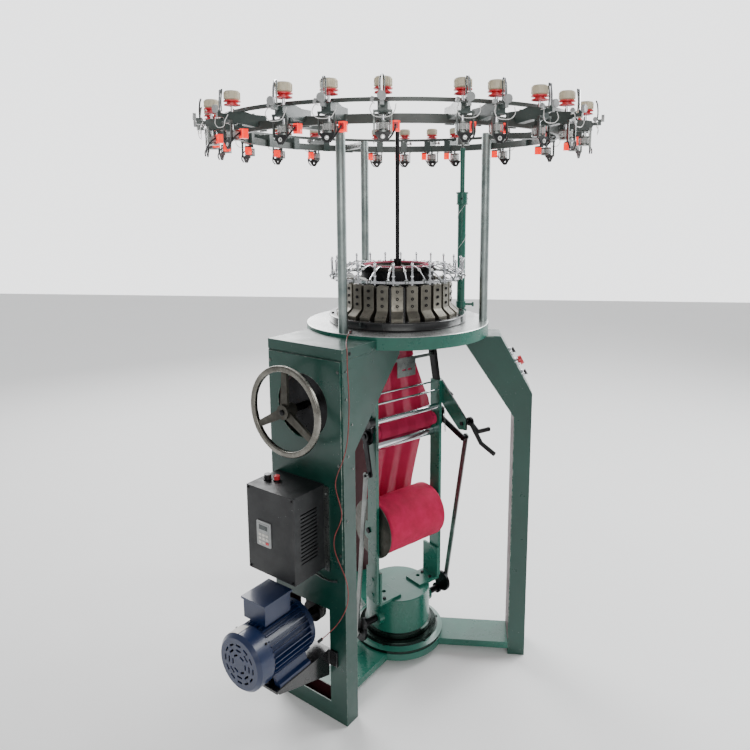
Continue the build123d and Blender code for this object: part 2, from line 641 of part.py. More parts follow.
# ---------------------------------------------------------------- inverter
INV_T0, INV_T1, INV_Z0, INV_Z1 = -146.0, 52.0, 533.0, 808.0
INV_R0, INV_R1 = CAS_OUT + DOOR_T, 602.0
with BuildPart() as inverter_box:
    with BuildSketch(face(AZ_A, INV_R0, (INV_T0 + INV_T1) / 2, (INV_Z0 + INV_Z1) / 2)):
        Rectangle(INV_T1 - INV_T0, INV_Z1 - INV_Z0)
    extrude(amount=INV_R1 - INV_R0)
    with BuildSketch(face(AZ_A, INV_R0 + 3, (INV_T0 + INV_T1) / 2, (INV_Z0 + INV_Z1) / 2)):
        Rectangle(INV_T1 - INV_T0 - 5, INV_Z1 - INV_Z0 - 5)
    extrude(amount=INV_R1 - INV_R0 - 5.5, mode=Mode.SUBTRACT)
    # louvres in the side wall
    for k in range(14):
        z = 590.0 + k * 12.0
        with Locations(flat(AZ_A, 0) * Pos(538, INV_T1 - 1, z)):
            Box(72, 8, 4.5, mode=Mode.SUBTRACT)
    # keypad
    with BuildSketch(face(AZ_A, INV_R1, -74, 664)):
        RectangleRounded(60, 80, 4)
    extrude(amount=3)
    # knob bore
    with Locations(flat(AZ_A, 0) * Pos(540, -117, INV_Z1)):
        Cylinder(3 + RUN, 20, mode=Mode.SUBTRACT)
    # second knob, fixed to the box
    with Locations(flat(AZ_A, 0) * Pos(529, -88, 0)):
        with Locations((0, 0, INV_Z1 + 1.5)):
            Cylinder(12.5, 3)
        with Locations((0, 0, INV_Z1 + 9)):
            Cylinder(9.5, 12)
    # mounting strip beside the box
    with BuildSketch(face(AZ_A, INV_R0, 61, 664)):
        Rectangle(18.5, 278)
    extrude(amount=5)
save(inverter_box, "inverter_box")

with BuildPart() as speed_knob:
    with Locations(flat(AZ_A, 0) * Pos(540, -117, 0)):
        with Locations((0, 0, INV_Z1 + 9)):
            Cylinder(11, 17)
        with Locations((0, 0, INV_Z1 - 2)):
            Cylinder(3, 16)
save(speed_knob, "speed_knob")

# ---------------------------------------------------------------- push buttons on leg B
NB = (0.8729, 0.4879)             # outward normal of the sloping face, in radius and height
def on_slope(z):
    return (LEG_TOP_OUT + (1207 - z) * (LEG_OUT - LEG_TOP_OUT) / (1207 - LEG_KNEE_OUT), z)

def slope_plane(z, off=0.0, t=-8.0):
    r, zz = on_slope(z)
    return Plane(origin=(r + NB[0] * off, t, zz + NB[1] * off), x_dir=(0, 1, 0), z_dir=(NB[0], 0, NB[1]))

BUTTONS = (("start_button", 1141.0), ("stop_button", 1103.0), ("jog_button", 1062.0))
with BuildPart() as button_collars:
    for nm, z in BUTTONS:
        with BuildSketch(slope_plane(z, 0.1)):
            Circle(15.5)
            Circle(8.5, mode=Mode.SUBTRACT)
        extrude(amount=9)
save(button_collars, "button_collars")
for nm, z in BUTTONS:
    with BuildPart() as button:
        with BuildSketch(slope_plane(z, 5.0)):
            Circle(8.5 - RUN)
        extrude(amount=9)
        if nm == "stop_button":
            with BuildSketch(slope_plane(z, 13.5)):
                Circle(17)
            with BuildSketch(slope_plane(z, 26)):
                Circle(15)
            loft()
        else:
            with BuildSketch(slope_plane(z, 13.5)):
                Circle(10.5)
            extrude(amount=4)
    save(button, nm)

# ---------------------------------------------------------------- take-down
with BuildPart() as drum:
    with BuildSketch(Plane.XZ):
        with BuildLine():
            Polyline((0, 214), (112, 214), (112, 86), (66, 86), (66, 77.4), (126, 77.4), (126, 92), (DRUM_R, 96), (DRUM_R, DRUM_TOP - 2),
                     (DRUM_R - 2, DRUM_TOP), (0, DRUM_TOP), close=True)
        make_face()
    revolve(axis=Axis.Z)
    # bosses and bores of the cross shaft
    with BuildSketch(td(-128)):
        with Locations((CRANK_Y, CRANK_Z)):
            Circle(26)
    extrude(amount=22)
    with BuildSketch(td(106)):
        with Locations((CRANK_Y, CRANK_Z)):
            Circle(26)
    extrude(amount=22)
    with BuildSketch(td(-140)):
        with Locations((CRANK_Y, CRANK_Z)):
            Circle(12 + RUN)
    extrude(amount=280, mode=Mode.SUBTRACT)
save(drum, "drum")

with BuildPart() as drum_brackets:
    # two angle brackets bolted to the drum top, with their bolts
    for s in (-1, 1):
        x0, x1 = sorted((s * 46, s * ARM_X))
        with BuildSketch(flat(AZ_TD, DRUM_TOP)):
            with Locations(((x0 + x1) / 2, -34)):
                Rectangle(x1 - x0, 82)
            with Locations((s * 84, -34 + 14)):
                Circle(7, mode=Mode.SUBTRACT)
        extrude(amount=9)
        xa = min(s * ARM_X, s * (ARM_X - 9))
        with BuildSketch(td(xa)):
            with Locations((-34, 287)):
                Rectangle(82, 126)
        extrude(amount=9)
        for yy in (-58, -14):
            with BuildSketch(flat(AZ_TD, DRUM_TOP + 9)):
                with Locations((s * 112, yy)):
                    RegularPolygon(7, 6)
            extrude(amount=5)
save(drum_brackets, "drum_brackets")


with BuildPart() as take_down_frame:
    for s in (-1, 1):
        xa = min(s * ARM_X, s * (ARM_X + ARM_T))
        with BuildSketch(td(xa)):
            with Locations(((ARM_Y0 + ARM_Y1) / 2, (233 + 1012) / 2)):
                Rectangle(ARM_Y1 - ARM_Y0, 1012 - 233)
            # bearing eyes
            for yy, zz, rr in ((PINK_Y, PINK_Z, 26), (STEEL_Y, STEEL_Z, 26), (ROLL_Y, ROLL_Z, 34)):
                with Locations((yy, zz)):
                    Circle(rr)
            for yy, zz, rr in ((PINK_Y, PINK_Z, 9), (STEEL_Y, STEEL_Z, 9), (ROLL_Y, ROLL_Z, 10)):
                with Locations((yy, zz)):
                    Circle(rr + RUN, mode=Mode.SUBTRACT)
        extrude(amount=ARM_T)
    # sloping hangers from the gear down to the arms
    for s in (-1, 1):
        with BuildSketch(Plane(origin=(0, 0, 0), x_dir=flat(AZ_TD).x_dir, z_dir=(sin(radians(AZ_TD)), -cos(radians(AZ_TD)), 0)).offset(30)):
            Polygon((s * 144, 996), (s * 156, 996), (s * 156, 1020), (s * 124, 1210), (s * 108, 1210), (s * 144, 1012), align=None)
        extrude(amount=30)
    # tie bars and guide rods
    for yy, zz, rr in ((-30, 1000, 4), (-58, 975, 4), (-55, 912, 11)):
        with BuildSketch(td(-ARM_X)):
            with Locations((yy, zz)):
                Circle(rr)
        extrude(amount=2 * ARM_X)
    with BuildSketch(td(-133)):
        with Locations((-45, 1114)):
            Rectangle(14, 12)
    extrude(amount=266)
    # slotted spreader plate
    with BuildSketch(face(AZ_TD, 0, 0, 0)):
        with Locations((-49, 1084)):
            Rectangle(3, 70)
    extrude(amount=42, both=True)
    with BuildSketch(Plane(origin=(0, 0, 0), x_dir=flat(AZ_TD).x_dir, z_dir=(sin(radians(AZ_TD)), -cos(radians(AZ_TD)), 0))):
        with Locations((-12, 1074), (14, 1074)):
            SlotOverall(18, 7)
    extrude(amount=70, mode=Mode.SUBTRACT)
    # knob on the end of the thick rod
    with BuildSketch(td(-ARM_X - ARM_T - 24)):
        with Locations((-55, 912)):
            Circle(16)
    extrude(amount=24)
    # side plate that carries the release levers
    with BuildSketch(td(ARM_X + ARM_T)):
        with BuildLine():
            Polyline((-28, 1012), (-68, 1012), (-196, 892), (-196, 852), (-160, 846), (-96, 900), (-56, 940), (-28, 990), close=True)
        make_face()
        with Locations((-176, 872)):
            Circle(7 + RUN, mode=Mode.SUBTRACT)
    extrude(amount=7)
    # bolts that hold the arms to the angle brackets
    for s in (-1, 1):
        xa = min(s * (ARM_X + ARM_T), s * (ARM_X + ARM_T + 3.2))
        with BuildSketch(td(xa)):
            with Locations((-45, 260), (-45, 320)):
                RegularPolygon(7, 6)
        extrude(amount=3.2)
    # thumb screw on its slanting stem
    k0, k1 = (face(AZ_TD, x).from_local_coords(Vector(y, z, 0)) for x, y, z in ((159, -71, 931), (187, -80, 957)))
    kd = (k1 - k0).normalized()
    for start, length, rad in ((0, 16, 7.5), (0, 36, 3.5), (34, 12, 13)):
        with BuildSketch(Plane(origin=k0 + kd * start, z_dir=kd)):
            Circle(rad)
        extrude(amount=length)
save(take_down_frame, "take_down_frame")


def roller(label, y, z, r, half, jr, stub):
    with BuildPart() as rl:
        with BuildSketch(td(-half)):
            with Locations((y, z)):
                Circle(r)
        extrude(amount=2 * half)
        with BuildSketch(td(-stub)):
            with Locations((y, z)):
                Circle(jr)
        extrude(amount=2 * stub)
        if label == "nip_roller":
            for s in (-1, 1):
                x0 = min(s * 165, s * 170)
                with BuildSketch(td(x0)):
                    with Locations((y, z)):
                        Circle(30)
                        with PolarLocations(30, 24):
                            Rectangle(6, 4)
                extrude(amount=5)
    save(rl, label)


roller("nip_roller", PINK_Y, PINK_Z, PINK_R, 142, 9, 184)
roller("steel_roller", STEEL_Y, STEEL_Z, STEEL_R, 142, 9, 158)

with BuildPart() as cloth_roll:
    with BuildSketch(td(-134)):
        with Locations((ROLL_Y, ROLL_Z)):
            Circle(ROLL_R)
    extrude(amount=268)
    with BuildSketch(td(-162)):
        with Locations((ROLL_Y, ROLL_Z)):
            Circle(10)
    extrude(amount=324)
    with BuildSketch(td(-142)):
        with Locations((ROLL_Y, ROLL_Z)):
            Circle(ROLL_R + 6)
    extrude(amount=6)
save(cloth_roll, "cloth_roll")

# fabric web from the cylinder through the nip to the roll, one closed strip
web_mid = [(-2, 1206), (-20, 1000), (-38, 915)]
web_mid += [(PINK_Y + 27 * cos(radians(q)), PINK_Z + 27 * sin(radians(q))) for q in (160, 180, 202, 224, 246, 267, 284.6)]
web_mid += [(STEEL_Y + 24.6 * cos(radians(q)), STEEL_Z + 24.6 * sin(radians(q))) for q in (82, 58, 34, 12)]
web_mid += [(78.5, 531)]


def offset_line(pts, d):
    """The polyline shifted sideways by d, with mitred corners."""
    out = []
    for k, p in enumerate(pts):
        v = []
        if k > 0:
            v.append((p[0] - pts[k - 1][0], p[1] - pts[k - 1][1]))
        if k < len(pts) - 1:
            v.append((pts[k + 1][0] - p[0], pts[k + 1][1] - p[1]))
        n = [(-y / hypot(x, y), x / hypot(x, y)) for x, y in v]
        m = (sum(i[0] for i in n) / len(n), sum(i[1] for i in n) / len(n))
        c = m[0] ** 2 + m[1] ** 2
        out.append((p[0] + m[0] / c * d, p[1] + m[1] / c * d))
    return out


with BuildPart() as fabric_web:
    with BuildSketch(td(-124)):
        with BuildLine():
            Polyline(*(offset_line(web_mid, 1.2) + offset_line(web_mid, -1.2)[::-1]), close=True)
        make_face()
    extrude(amount=248)
    for s in (-1, 1):
        with BuildSketch(Plane(origin=(0, 0, 0), x_dir=flat(AZ_TD).x_dir, z_dir=(sin(radians(AZ_TD)), -cos(radians(AZ_TD)), 0))):
            with BuildLine():
                Polyline((s * 66, 1210), (s * 66, 1120), (s * 122, 940), (s * 160, 940), (s * 160, 1210), close=True)
            make_face()
        extrude(amount=100, both=True, mode=Mode.SUBTRACT)
save(fabric_web, "fabric_web")

# crank shaft: cross shaft through the drum, two cranks half a turn apart, worm wheel in the middle
with BuildPart() as crank_shaft:
    with BuildSketch(td(-180)):
        with Locations((CRANK_Y, CRANK_Z)):
            Circle(12)
    extrude(amount=360)
    with BuildSketch(td(-12)):
        with Locations((CRANK_Y, CRANK_Z)):
            Circle(17.6)
    extrude(amount=24)
    for s, pin in ((1, CRANK_R_PIN), (-1, CRANK_L_PIN)):
        ang = degrees(atan2(pin[1] - CRANK_Z, pin[0] - CRANK_Y))
        throw = hypot(pin[1] - CRANK_Z, pin[0] - CRANK_Y)
        xa = min(s * 174, s * 184)
        with BuildSketch(td(xa)):
            with Locations((CRANK_Y, CRANK_Z)):
                Circle(20)
                with Locations(Rot(0, 0, ang) * Pos(throw / 2, 0)):
                    Rectangle(throw, 26)
            with Locations(pin):
                Circle(38)
        extrude(amount=10)
        xp = min(s * 184, s * 190)
        with BuildSketch(td(xp)):
            with Locations(pin):
                Circle(9)
        extrude(amount=6)
save(crank_shaft, "crank_shaft")

for nm, s, pin, low in (("right", 1, LEVER_R_PIN, CRANK_R_PIN), ("left", -1, LEVER_L_PIN, CRANK_L_PIN)):
    dy, dz = pin[0] - PINK_Y, pin[1] - PINK_Z
    ang, arm = degrees(atan2(dz, dy)), hypot(dy, dz)
    with BuildPart() as lever:
        xa = min(s * 174, s * 180)
        with BuildSketch(td(xa)):
            with Locations((PINK_Y, PINK_Z)):
                Circle(20)
                with Locations(Rot(0, 0, ang) * Pos(arm / 2, 0)):
                    Rectangle(arm, 22)
            with Locations(pin):
                Circle(12)
            with Locations((PINK_Y, PINK_Z)):
                Circle(9 + RUN, mode=Mode.SUBTRACT)
        extrude(amount=6)
        xp = min(s * 180, s * 191.5)
        with BuildSketch(td(xp)):
            with Locations(pin):
                Circle(8)
        extrude(amount=11.5)
        xp = min(s * 191, s * 201)
        with BuildSketch(td(xp)):
            with Locations(pin):
                Circle(5)
        extrude(amount=10)
    save(lever, "ratchet_lever_" + nm)
    dy, dz = low[0] - pin[0], low[1] - pin[1]
    ang, ln = degrees(atan2(dz, dy)), hypot(dy, dz)
    with BuildPart() as link:
        xa = min(s * 192, s * 198)
        with BuildSketch(td(xa)):
            with Locations(pin):
                Circle(12)
                with Locations(Rot(0, 0, ang) * Pos(ln / 2, 0)):
                    Rectangle(ln, 18)
            with Locations(low):
                Circle(15)
            with Locations(pin):
                Circle(5 + RUN, mode=Mode.SUBTRACT)
        extrude(amount=6)
    save(link, "link_" + nm)

# release levers with rubber grips on the right-hand plate
with BuildPart() as release_lever:
    with BuildSketch(td(ARM_X + ARM_T - 4)):
        with Locations((-176, 872)):
            Circle(7)
    extrude(amount=50)
    with BuildSketch(td(192)):
        with Locations((-176, 872)):
            Circle(16)
    extrude(amount=10)
    with BuildLine() as grip1:
        Polyline(
            face(AZ_TD, 197).from_local_coords(Vector(-176, 872, 0)), face(AZ_TD, 200).from_local_coords(Vector(-214, 842, 0)),
            face(AZ_TD, 206).from_local_coords(Vector(-262, 864, 0)))
    with BuildSketch(Plane(origin=grip1.line @ 0, z_dir=grip1.line % 0)):
        Circle(8)
    sweep(path=grip1.line, transition=Transition.ROUND)
    with BuildLine() as grip2:
        Polyline(
            face(AZ_TD, 197).from_local_coords(Vector(-176, 872, 0)), face(AZ_TD, 194).from_local_coords(Vector(-236, 806, 0)),
            face(AZ_TD, 194).from_local_coords(Vector(-300, 784, 0)))
    with BuildSketch(Plane(origin=grip2.line @ 0, z_dir=grip2.line % 0)):
        Circle(8)
    sweep(path=grip2.line, transition=Transition.ROUND)
save(release_lever, "release_lever")

# ---------------------------------------------------------------- fasteners
with BuildPart() as fasteners:
    # cap screws of the cam blocks, three to a block
    for i in range(N_BLOCK):
        az = -85.0 + i * 360.0 / N_BLOCK
        with BuildSketch(face(az, BLOCK_R, 0, 0)):
            with Locations((0, 1326), (0, 1350), (0, 1374)):
                Circle(5)
                RegularPolygon(2.4, 6, mode=Mode.SUBTRACT)
        extrude(amount=3)
save(fasteners, "fasteners")

# ---------------------------------------------------------------- signal wire down the drive leg
WIRE_D = 3.0
WIRE = [(303, -30, 1256), (338, -50, 1256), (385, -82, 1252), (428, -116, 1249), (455, -142, 1236), (457, -143, 1185), (446, -138, 1130), (444, -138, 1072),
        (449, -139, 1012), (458, -141, 957), (474, -137, 905), (482, -119, 862), (481, -108, 822), (478, -121, 776),
        (476, -133, 736), (477, -121, 697), (478, -100, 657), (478, -97, 613), (476, -118, 569), (473, -139, 529),
        (466, -144, 482), (468, -141, 433), (480, -124, 387), (496, -99, 347), (516, -76, 322)]
wire_pts = []
for r, u, z in WIRE:
    a = radians(AZ_A)
    wire_pts.append(Vector(r * cos(a) + u * sin(a), r * sin(a) - u * cos(a), z))
radii, total = [], 0.0
for k in range(1, len(wire_pts) - 1):
    v1, v2 = wire_pts[k] - wire_pts[k - 1], wire_pts[k + 1] - wire_pts[k]
    turn = v1.get_angle(v2)
    radii.append(0.45 * min(v1.length, v2.length) / tan(radians(turn / 2)))
print("wire radii", [round(x, 1) for x in radii])
with BuildPart() as signal_wire:
    with BuildLine() as wire_path:
        FilletPolyline(*wire_pts, radius=radii)
    with BuildSketch(Plane(origin=wire_path.line @ 0, z_dir=wire_path.line % 0)):
        Circle(WIRE_D / 2)
    sweep(path=wire_path.line)
wire_len = sum(e.length for e in wire_path.line.edges())
print("wire length", round(wire_len, 1), "volume", round(signal_wire.part.volume, 1),
      "section x length", round(pi * WIRE_D ** 2 / 4 * wire_len, 1))
save(signal_wire, "signal_wire")

with BuildPart() as wire_clips:
    # gland on the table and clip on the motor where the wire starts and ends
    d0 = (wire_pts[1] - wire_pts[0]).normalized()
    with BuildSketch(Plane(origin=wire_pts[0] - d0 * 12, z_dir=d0)):
        Circle(4.5)
    extrude(amount=12)
    with Locations(Pos(wire_pts[0] - d0 * 6) * Pos(0, 0, -3)):
        Box(7, 7, 6)
    d1 = (wire_pts[-1] - wire_pts[-2]).normalized()
    with BuildSketch(Plane(origin=wire_pts[-1], z_dir=d1)):
        Circle(5)
    extrude(amount=16)
save(wire_clips, "wire_clips")
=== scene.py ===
import bpy, bmesh, json, math, random
from mathutils import Vector, Matrix, noise
from math import radians, cos, sin, pi, atan2, hypot, sqrt


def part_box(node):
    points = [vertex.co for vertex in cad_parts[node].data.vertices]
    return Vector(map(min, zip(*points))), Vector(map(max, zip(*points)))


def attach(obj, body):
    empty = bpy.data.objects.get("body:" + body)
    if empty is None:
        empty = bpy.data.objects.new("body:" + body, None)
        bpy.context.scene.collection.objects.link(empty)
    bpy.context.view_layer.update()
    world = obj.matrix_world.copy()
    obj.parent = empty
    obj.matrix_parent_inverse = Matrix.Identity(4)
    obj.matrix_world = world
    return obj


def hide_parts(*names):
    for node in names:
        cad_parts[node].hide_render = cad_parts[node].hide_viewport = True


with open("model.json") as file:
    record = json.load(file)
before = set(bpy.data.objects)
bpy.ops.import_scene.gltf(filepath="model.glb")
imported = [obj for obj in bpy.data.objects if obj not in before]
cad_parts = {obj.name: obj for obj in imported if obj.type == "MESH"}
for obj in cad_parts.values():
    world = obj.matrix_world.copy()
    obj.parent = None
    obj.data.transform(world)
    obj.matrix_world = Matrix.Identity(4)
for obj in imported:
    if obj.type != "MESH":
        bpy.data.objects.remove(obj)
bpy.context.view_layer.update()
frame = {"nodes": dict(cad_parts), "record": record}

rnd = random.Random(7)
AZ_A, AZ_TD = -120.0, 45.0


def V(*a):
    return Vector(a)


def W(az, r, t=0.0, z=0.0):
    """mm in leg coordinates (radius, tangential, height) to metres."""
    a = radians(az)
    return Vector(((r * cos(a) - t * sin(a)) / 1000, (r * sin(a) + t * cos(a)) / 1000, z / 1000))


def T(x, y, z):
    return W(AZ_TD, x, y, z)


def FR(az, r, t=0.0, z=0.0):
    """Matrix: local x tangential, y up, z outward, in metres, origin in mm."""
    a = radians(az)
    M = Matrix(((-sin(a), 0, cos(a)), (cos(a), 0, sin(a)), (0, 1, 0))).to_4x4()
    M.translation = W(az, r, t, z)
    return M


# ---------------------------------------------------------------- camera
yaw, pit, rol = radians(-0.41 - 5.26), radians(9.24), radians(-0.13)
fwd = V(sin(yaw) * cos(pit), cos(yaw) * cos(pit), -sin(pit))
right = V(cos(yaw), -sin(yaw), 0)
up = right.cross(fwd)
r2 = right * cos(rol) + up * sin(rol)
u2 = -right * sin(rol) + up * cos(rol)
cd = bpy.data.cameras.new("cam")
cam = bpy.data.objects.new("cam", cd)
bpy.context.collection.objects.link(cam)
Mc = Matrix((r2, u2, -fwd)).transposed().to_4x4()
Mc.translation = V(0.2136, -2.3214, 1.6672)
cam.matrix_world = Mc
cd.sensor_width = 36
cd.lens = 36 * 661.32 / 750
cd.shift_x, cd.shift_y = -17.83 / 750, -66.37 / 750
cd.clip_start, cd.clip_end = 0.05, 100
bpy.context.scene.camera = cam


# ---------------------------------------------------------------- materials
def mat(name):
    m = bpy.data.materials.new(name)
    m.use_nodes = True
    nt = m.node_tree
    b = nt.nodes["Principled BSDF"]
    return m, nt, b


def node(nt, kind, **kw):
    n = nt.nodes.new(kind)
    for k, v in kw.items():
        if k.startswith("i_"):
            n.inputs[k[2:].replace("_", " ")].default_value = v
        else:
            setattr(n, k, v)
    return n


def coords(nt, scale=(1, 1, 1), rot=(0, 0, 0)):
    tc = nt.nodes.new("ShaderNodeTexCoord")
    mp = nt.nodes.new("ShaderNodeMapping")
    mp.inputs["Scale"].default_value = scale
    mp.inputs["Rotation"].default_value = rot
    nt.links.new(tc.outputs["Object"], mp.inputs["Vector"])
    return mp.outputs["Vector"]


def noise_tex(nt, vec, scale, detail=4, rough=0.55):
    n = node(nt, "ShaderNodeTexNoise")
    n.inputs["Scale"].default_value = scale
    n.inputs["Detail"].default_value = detail
    n.inputs["Roughness"].default_value = rough
    nt.links.new(vec, n.inputs["Vector"])
    return n.outputs["Fac"]


def ramp(nt, fac, stops):
    r = nt.nodes.new("ShaderNodeValToRGB")
    el = r.color_ramp.elements
    while len(el) < len(stops):
        el.new(0.5)
    for e, (p, c) in zip(el, stops):
        e.position = p
        e.color = c if len(c) == 4 else (*c, 1)
    nt.links.new(fac, r.inputs["Fac"])
    return r.outputs["Color"]


def mix(nt, fac, a, b, mode="MIX"):
    n = node(nt, "ShaderNodeMix", data_type="RGBA", blend_type=mode)
    for sock, val in ((n.inputs[0], fac), (n.inputs[6], a), (n.inputs[7], b)):
        if isinstance(val, (int, float)):
            sock.default_value = val
        elif isinstance(val, (tuple, list)):
            sock.default_value = (*val[:3], 1)
        else:
            nt.links.new(val, sock)
    return n.outputs[2]


def bump(nt, b, height, strength, dist=0.001, prev=None):
    n = node(nt, "ShaderNodeBump")
    n.inputs["Strength"].default_value = strength
    n.inputs["Distance"].default_value = dist
    nt.links.new(height, n.inputs["Height"])
    if prev is not None:
        nt.links.new(prev, n.inputs["Normal"])
    nt.links.new(n.outputs["Normal"], b.inputs["Normal"])
    return n.outputs["Normal"]


def math_node(nt, op, a, b=None, clamp=False):
    n = node(nt, "ShaderNodeMath", operation=op, use_clamp=clamp)
    for i, val in enumerate((a, b)):
        if val is None:
            continue
        if isinstance(val, (int, float)):
            n.inputs[i].default_value = val
        else:
            nt.links.new(val, n.inputs[i])
    return n.outputs[0]


def paint(name, base, dark, light, rough=0.38, chip=None, coat=0.25, dirt=0.6, peel=0.06, scale=1.0, worn=0.0):
    """Sprayed enamel: slow shade drift, faint runs, grime, small chips, orange peel. worn adds bare patches, for edges."""
    m, nt, b = mat(name)
    v = coords(nt)
    big = noise_tex(nt, v, 1.7 * scale, 3)
    col = ramp(nt, big, [(0.28, dark), (0.5, base), (0.78, light)])
    vs = coords(nt, (30, 30, 1.6))
    streak = noise_tex(nt, vs, 1.0, 4, 0.6)
    col = mix(nt, math_node(nt, "MULTIPLY", streak, 0.22), col, dark)
    grime = ramp(nt, noise_tex(nt, v, 5.5 * scale, 6, 0.7), [(0.52, (0, 0, 0)), (0.75, (0.55 * dirt,) * 3)])
    col = mix(nt, grime, col, tuple(c * 0.35 for c in dark))
    spots = noise_tex(nt, v, 210 * scale, 2, 0.5)
    mask = ramp(nt, spots, [(0.735, (0, 0, 0)), (0.75, (0.8, 0.8, 0.8))])
    area_ = ramp(nt, noise_tex(nt, v, 7.0, 3), [(0.50, (0, 0, 0)), (0.62, (1, 1, 1))])
    col = mix(nt, mix(nt, 1.0, mask, area_, "MULTIPLY"), col, chip or (0.42, 0.44, 0.40))
    if worn:
        wn = ramp(nt, noise_tex(nt, v, 55, 5, 0.7), [(0.50 - 0.1 * worn, (0, 0, 0)), (0.62, (worn,) * 3)])
        col = mix(nt, wn, col, chip or (0.45, 0.46, 0.42))
    nt.links.new(col, b.inputs["Base Color"])
    rr = ramp(nt, noise_tex(nt, v, 14 * scale, 5, 0.65), [(0.3, (rough - 0.1,) * 3), (0.7, (rough + 0.14,) * 3)])
    nt.links.new(rr, b.inputs["Roughness"])
    b.inputs["Coat Weight"].default_value = coat
    b.inputs["Coat Roughness"].default_value = 0.15
    n1 = bump(nt, b, noise_tex(nt, v, 420 * scale, 2), peel, 0.0005)
    bump(nt, b, noise_tex(nt, v, 9, 3), 0.07, 0.004, n1)
    return m


def metal(name, base, dark, rough=0.3, brush=(1, 1, 1), scale=120, aniso=0.0, spots=0.3, bumps=0.08, metallic=1.0, rust=None):
    m, nt, b = mat(name)
    v = coords(nt)
    vb = coords(nt, brush)
    br = noise_tex(nt, vb, scale, 4, 0.6)
    big = noise_tex(nt, v, 12, 4, 0.6)
    col = ramp(nt, big, [(0.3, dark), (0.65, base)])
    col = mix(nt, math_node(nt, "MULTIPLY", br, 0.4), col, dark)
    if rust:
        sp = noise_tex(nt, v, 70, 5, 0.7)
        col = mix(nt, ramp(nt, sp, [(0.60, (0, 0, 0)), (0.7, (spots,) * 3)]), col, rust)
    nt.links.new(col, b.inputs["Base Color"])
    b.inputs["Metallic"].default_value = metallic
    rr = ramp(nt, br, [(0.25, (max(rough - 0.12, 0.03),) * 3), (0.75, (rough + 0.14,) * 3)])
    nt.links.new(rr, b.inputs["Roughness"])
    if aniso:
        b.inputs["Anisotropic"].default_value = aniso
    bump(nt, b, br, bumps, 0.0004)
    return m


def plastic(name, base, rough=0.35, var=0.25, sheen=0.0, coat=0.0, bump_s=0.05):
    m, nt, b = mat(name)
    v = coords(nt)
    n1 = noise_tex(nt, v, 45, 4, 0.6)
    dark = tuple(c * (1 - var) for c in base)
    light = tuple(min(c * (1 + var) + 0.01, 1) for c in base)
    nt.links.new(ramp(nt, n1, [(0.3, dark), (0.7, light)]), b.inputs["Base Color"])
    nt.links.new(ramp(nt, noise_tex(nt, v, 130, 3), [(0.3, (rough - 0.08,) * 3), (0.7, (rough + 0.15,) * 3)]), b.inputs["Roughness"])
    b.inputs["Coat Weight"].default_value = coat
    bump(nt, b, noise_tex(nt, v, 900, 2), bump_s, 0.0003)
    return m


def knit(name, base, dark, light, see=0.0, band_axis=True, wales=420.0, sheen=0.35, radial_roll=False):
    """Fine plain knit: wales along the sheet, courses across it, slight fuzz; optional open, paler bands."""
    m, nt, b = mat(name)
    v = coords(nt, (1, 1, 1), (0, 0, radians(-AZ_TD)))
    sep = nt.nodes.new("ShaderNodeSeparateXYZ")
    nt.links.new(v, sep.inputs[0])
    x = sep.outputs["X"]
    z = sep.outputs["Z"]
    wx = math_node(nt, "SINE", math_node(nt, "MULTIPLY", x, wales * 2 * pi / 1.0))
    if radial_roll:
        y0 = math_node(nt, "SUBTRACT", sep.outputs["Y"], -0.025)
        z0 = math_node(nt, "SUBTRACT", z, 0.503)
        ang = math_node(nt, "ARCTAN2", z0, y0)
        cz = math_node(nt, "SINE", math_node(nt, "MULTIPLY", ang, 260))
    else:
        cz = math_node(nt, "SINE", math_node(nt, "MULTIPLY", z, wales * 2 * pi * 0.8))
    h = math_node(nt, "ADD", math_node(nt, "MULTIPLY", wx, 0.6), math_node(nt, "MULTIPLY", cz, 0.4))
    vv = coords(nt)
    big = noise_tex(nt, vv, 18, 4, 0.6)
    fine = noise_tex(nt, vv, 520, 3, 0.7)
    col = ramp(nt, big, [(0.28, dark), (0.5, base), (0.78, light)])
    col = mix(nt, math_node(nt, "MULTIPLY", math_node(nt, "ADD", h, 1.0), 0.16), col, dark)
    col = mix(nt, math_node(nt, "MULTIPLY", fine, 0.22), col, light)
    nt.links.new(col, b.inputs["Base Color"])
    b.inputs["Roughness"].default_value = 0.82
    b.inputs["Sheen Weight"].default_value = sheen
    b.inputs["Sheen Roughness"].default_value = 0.4
    b.inputs["Sheen Tint"].default_value = (*light, 1)
    n1 = bump(nt, b, h, 0.35, 0.0007)
    bump(nt, b, fine, 0.35, 0.0008, n1)
    if see > 0:
        # open bands along the cloth that let light through
        bx = math_node(nt, "ADD", math_node(nt, "MULTIPLY", x, 1.0), math_node(nt, "MULTIPLY", big, 0.006))
        band = math_node(nt, "SINE", math_node(nt, "MULTIPLY", bx, 2 * pi / 0.082))
        bm = ramp(nt, math_node(nt, "ADD", math_node(nt, "MULTIPLY", band, 0.5), 0.5), [(0.45, (0, 0, 0)), (0.72, (1, 1, 1))])
        tl = nt.nodes.new("ShaderNodeBsdfTranslucent")
        tl.inputs["Color"].default_value = (*light, 1)
        tr = nt.nodes.new("ShaderNodeBsdfTransparent")
        mx1 = nt.nodes.new("ShaderNodeMixShader")
        mx1.inputs[0].default_value = 0.35
        nt.links.new(b.outputs[0], mx1.inputs[1])
        nt.links.new(tl.outputs[0], mx1.inputs[2])
        mx2 = nt.nodes.new("ShaderNodeMixShader")
        hole = math_node(nt, "MULTIPLY", bm, see)
        nt.links.new(hole, mx2.inputs[0])
        nt.links.new(mx1.outputs[0], mx2.inputs[1])
        nt.links.new(tr.outputs[0], mx2.inputs[2])
        nt.links.new(mx2.outputs[0], nt.nodes["Material Output"].inputs["Surface"])
    return m


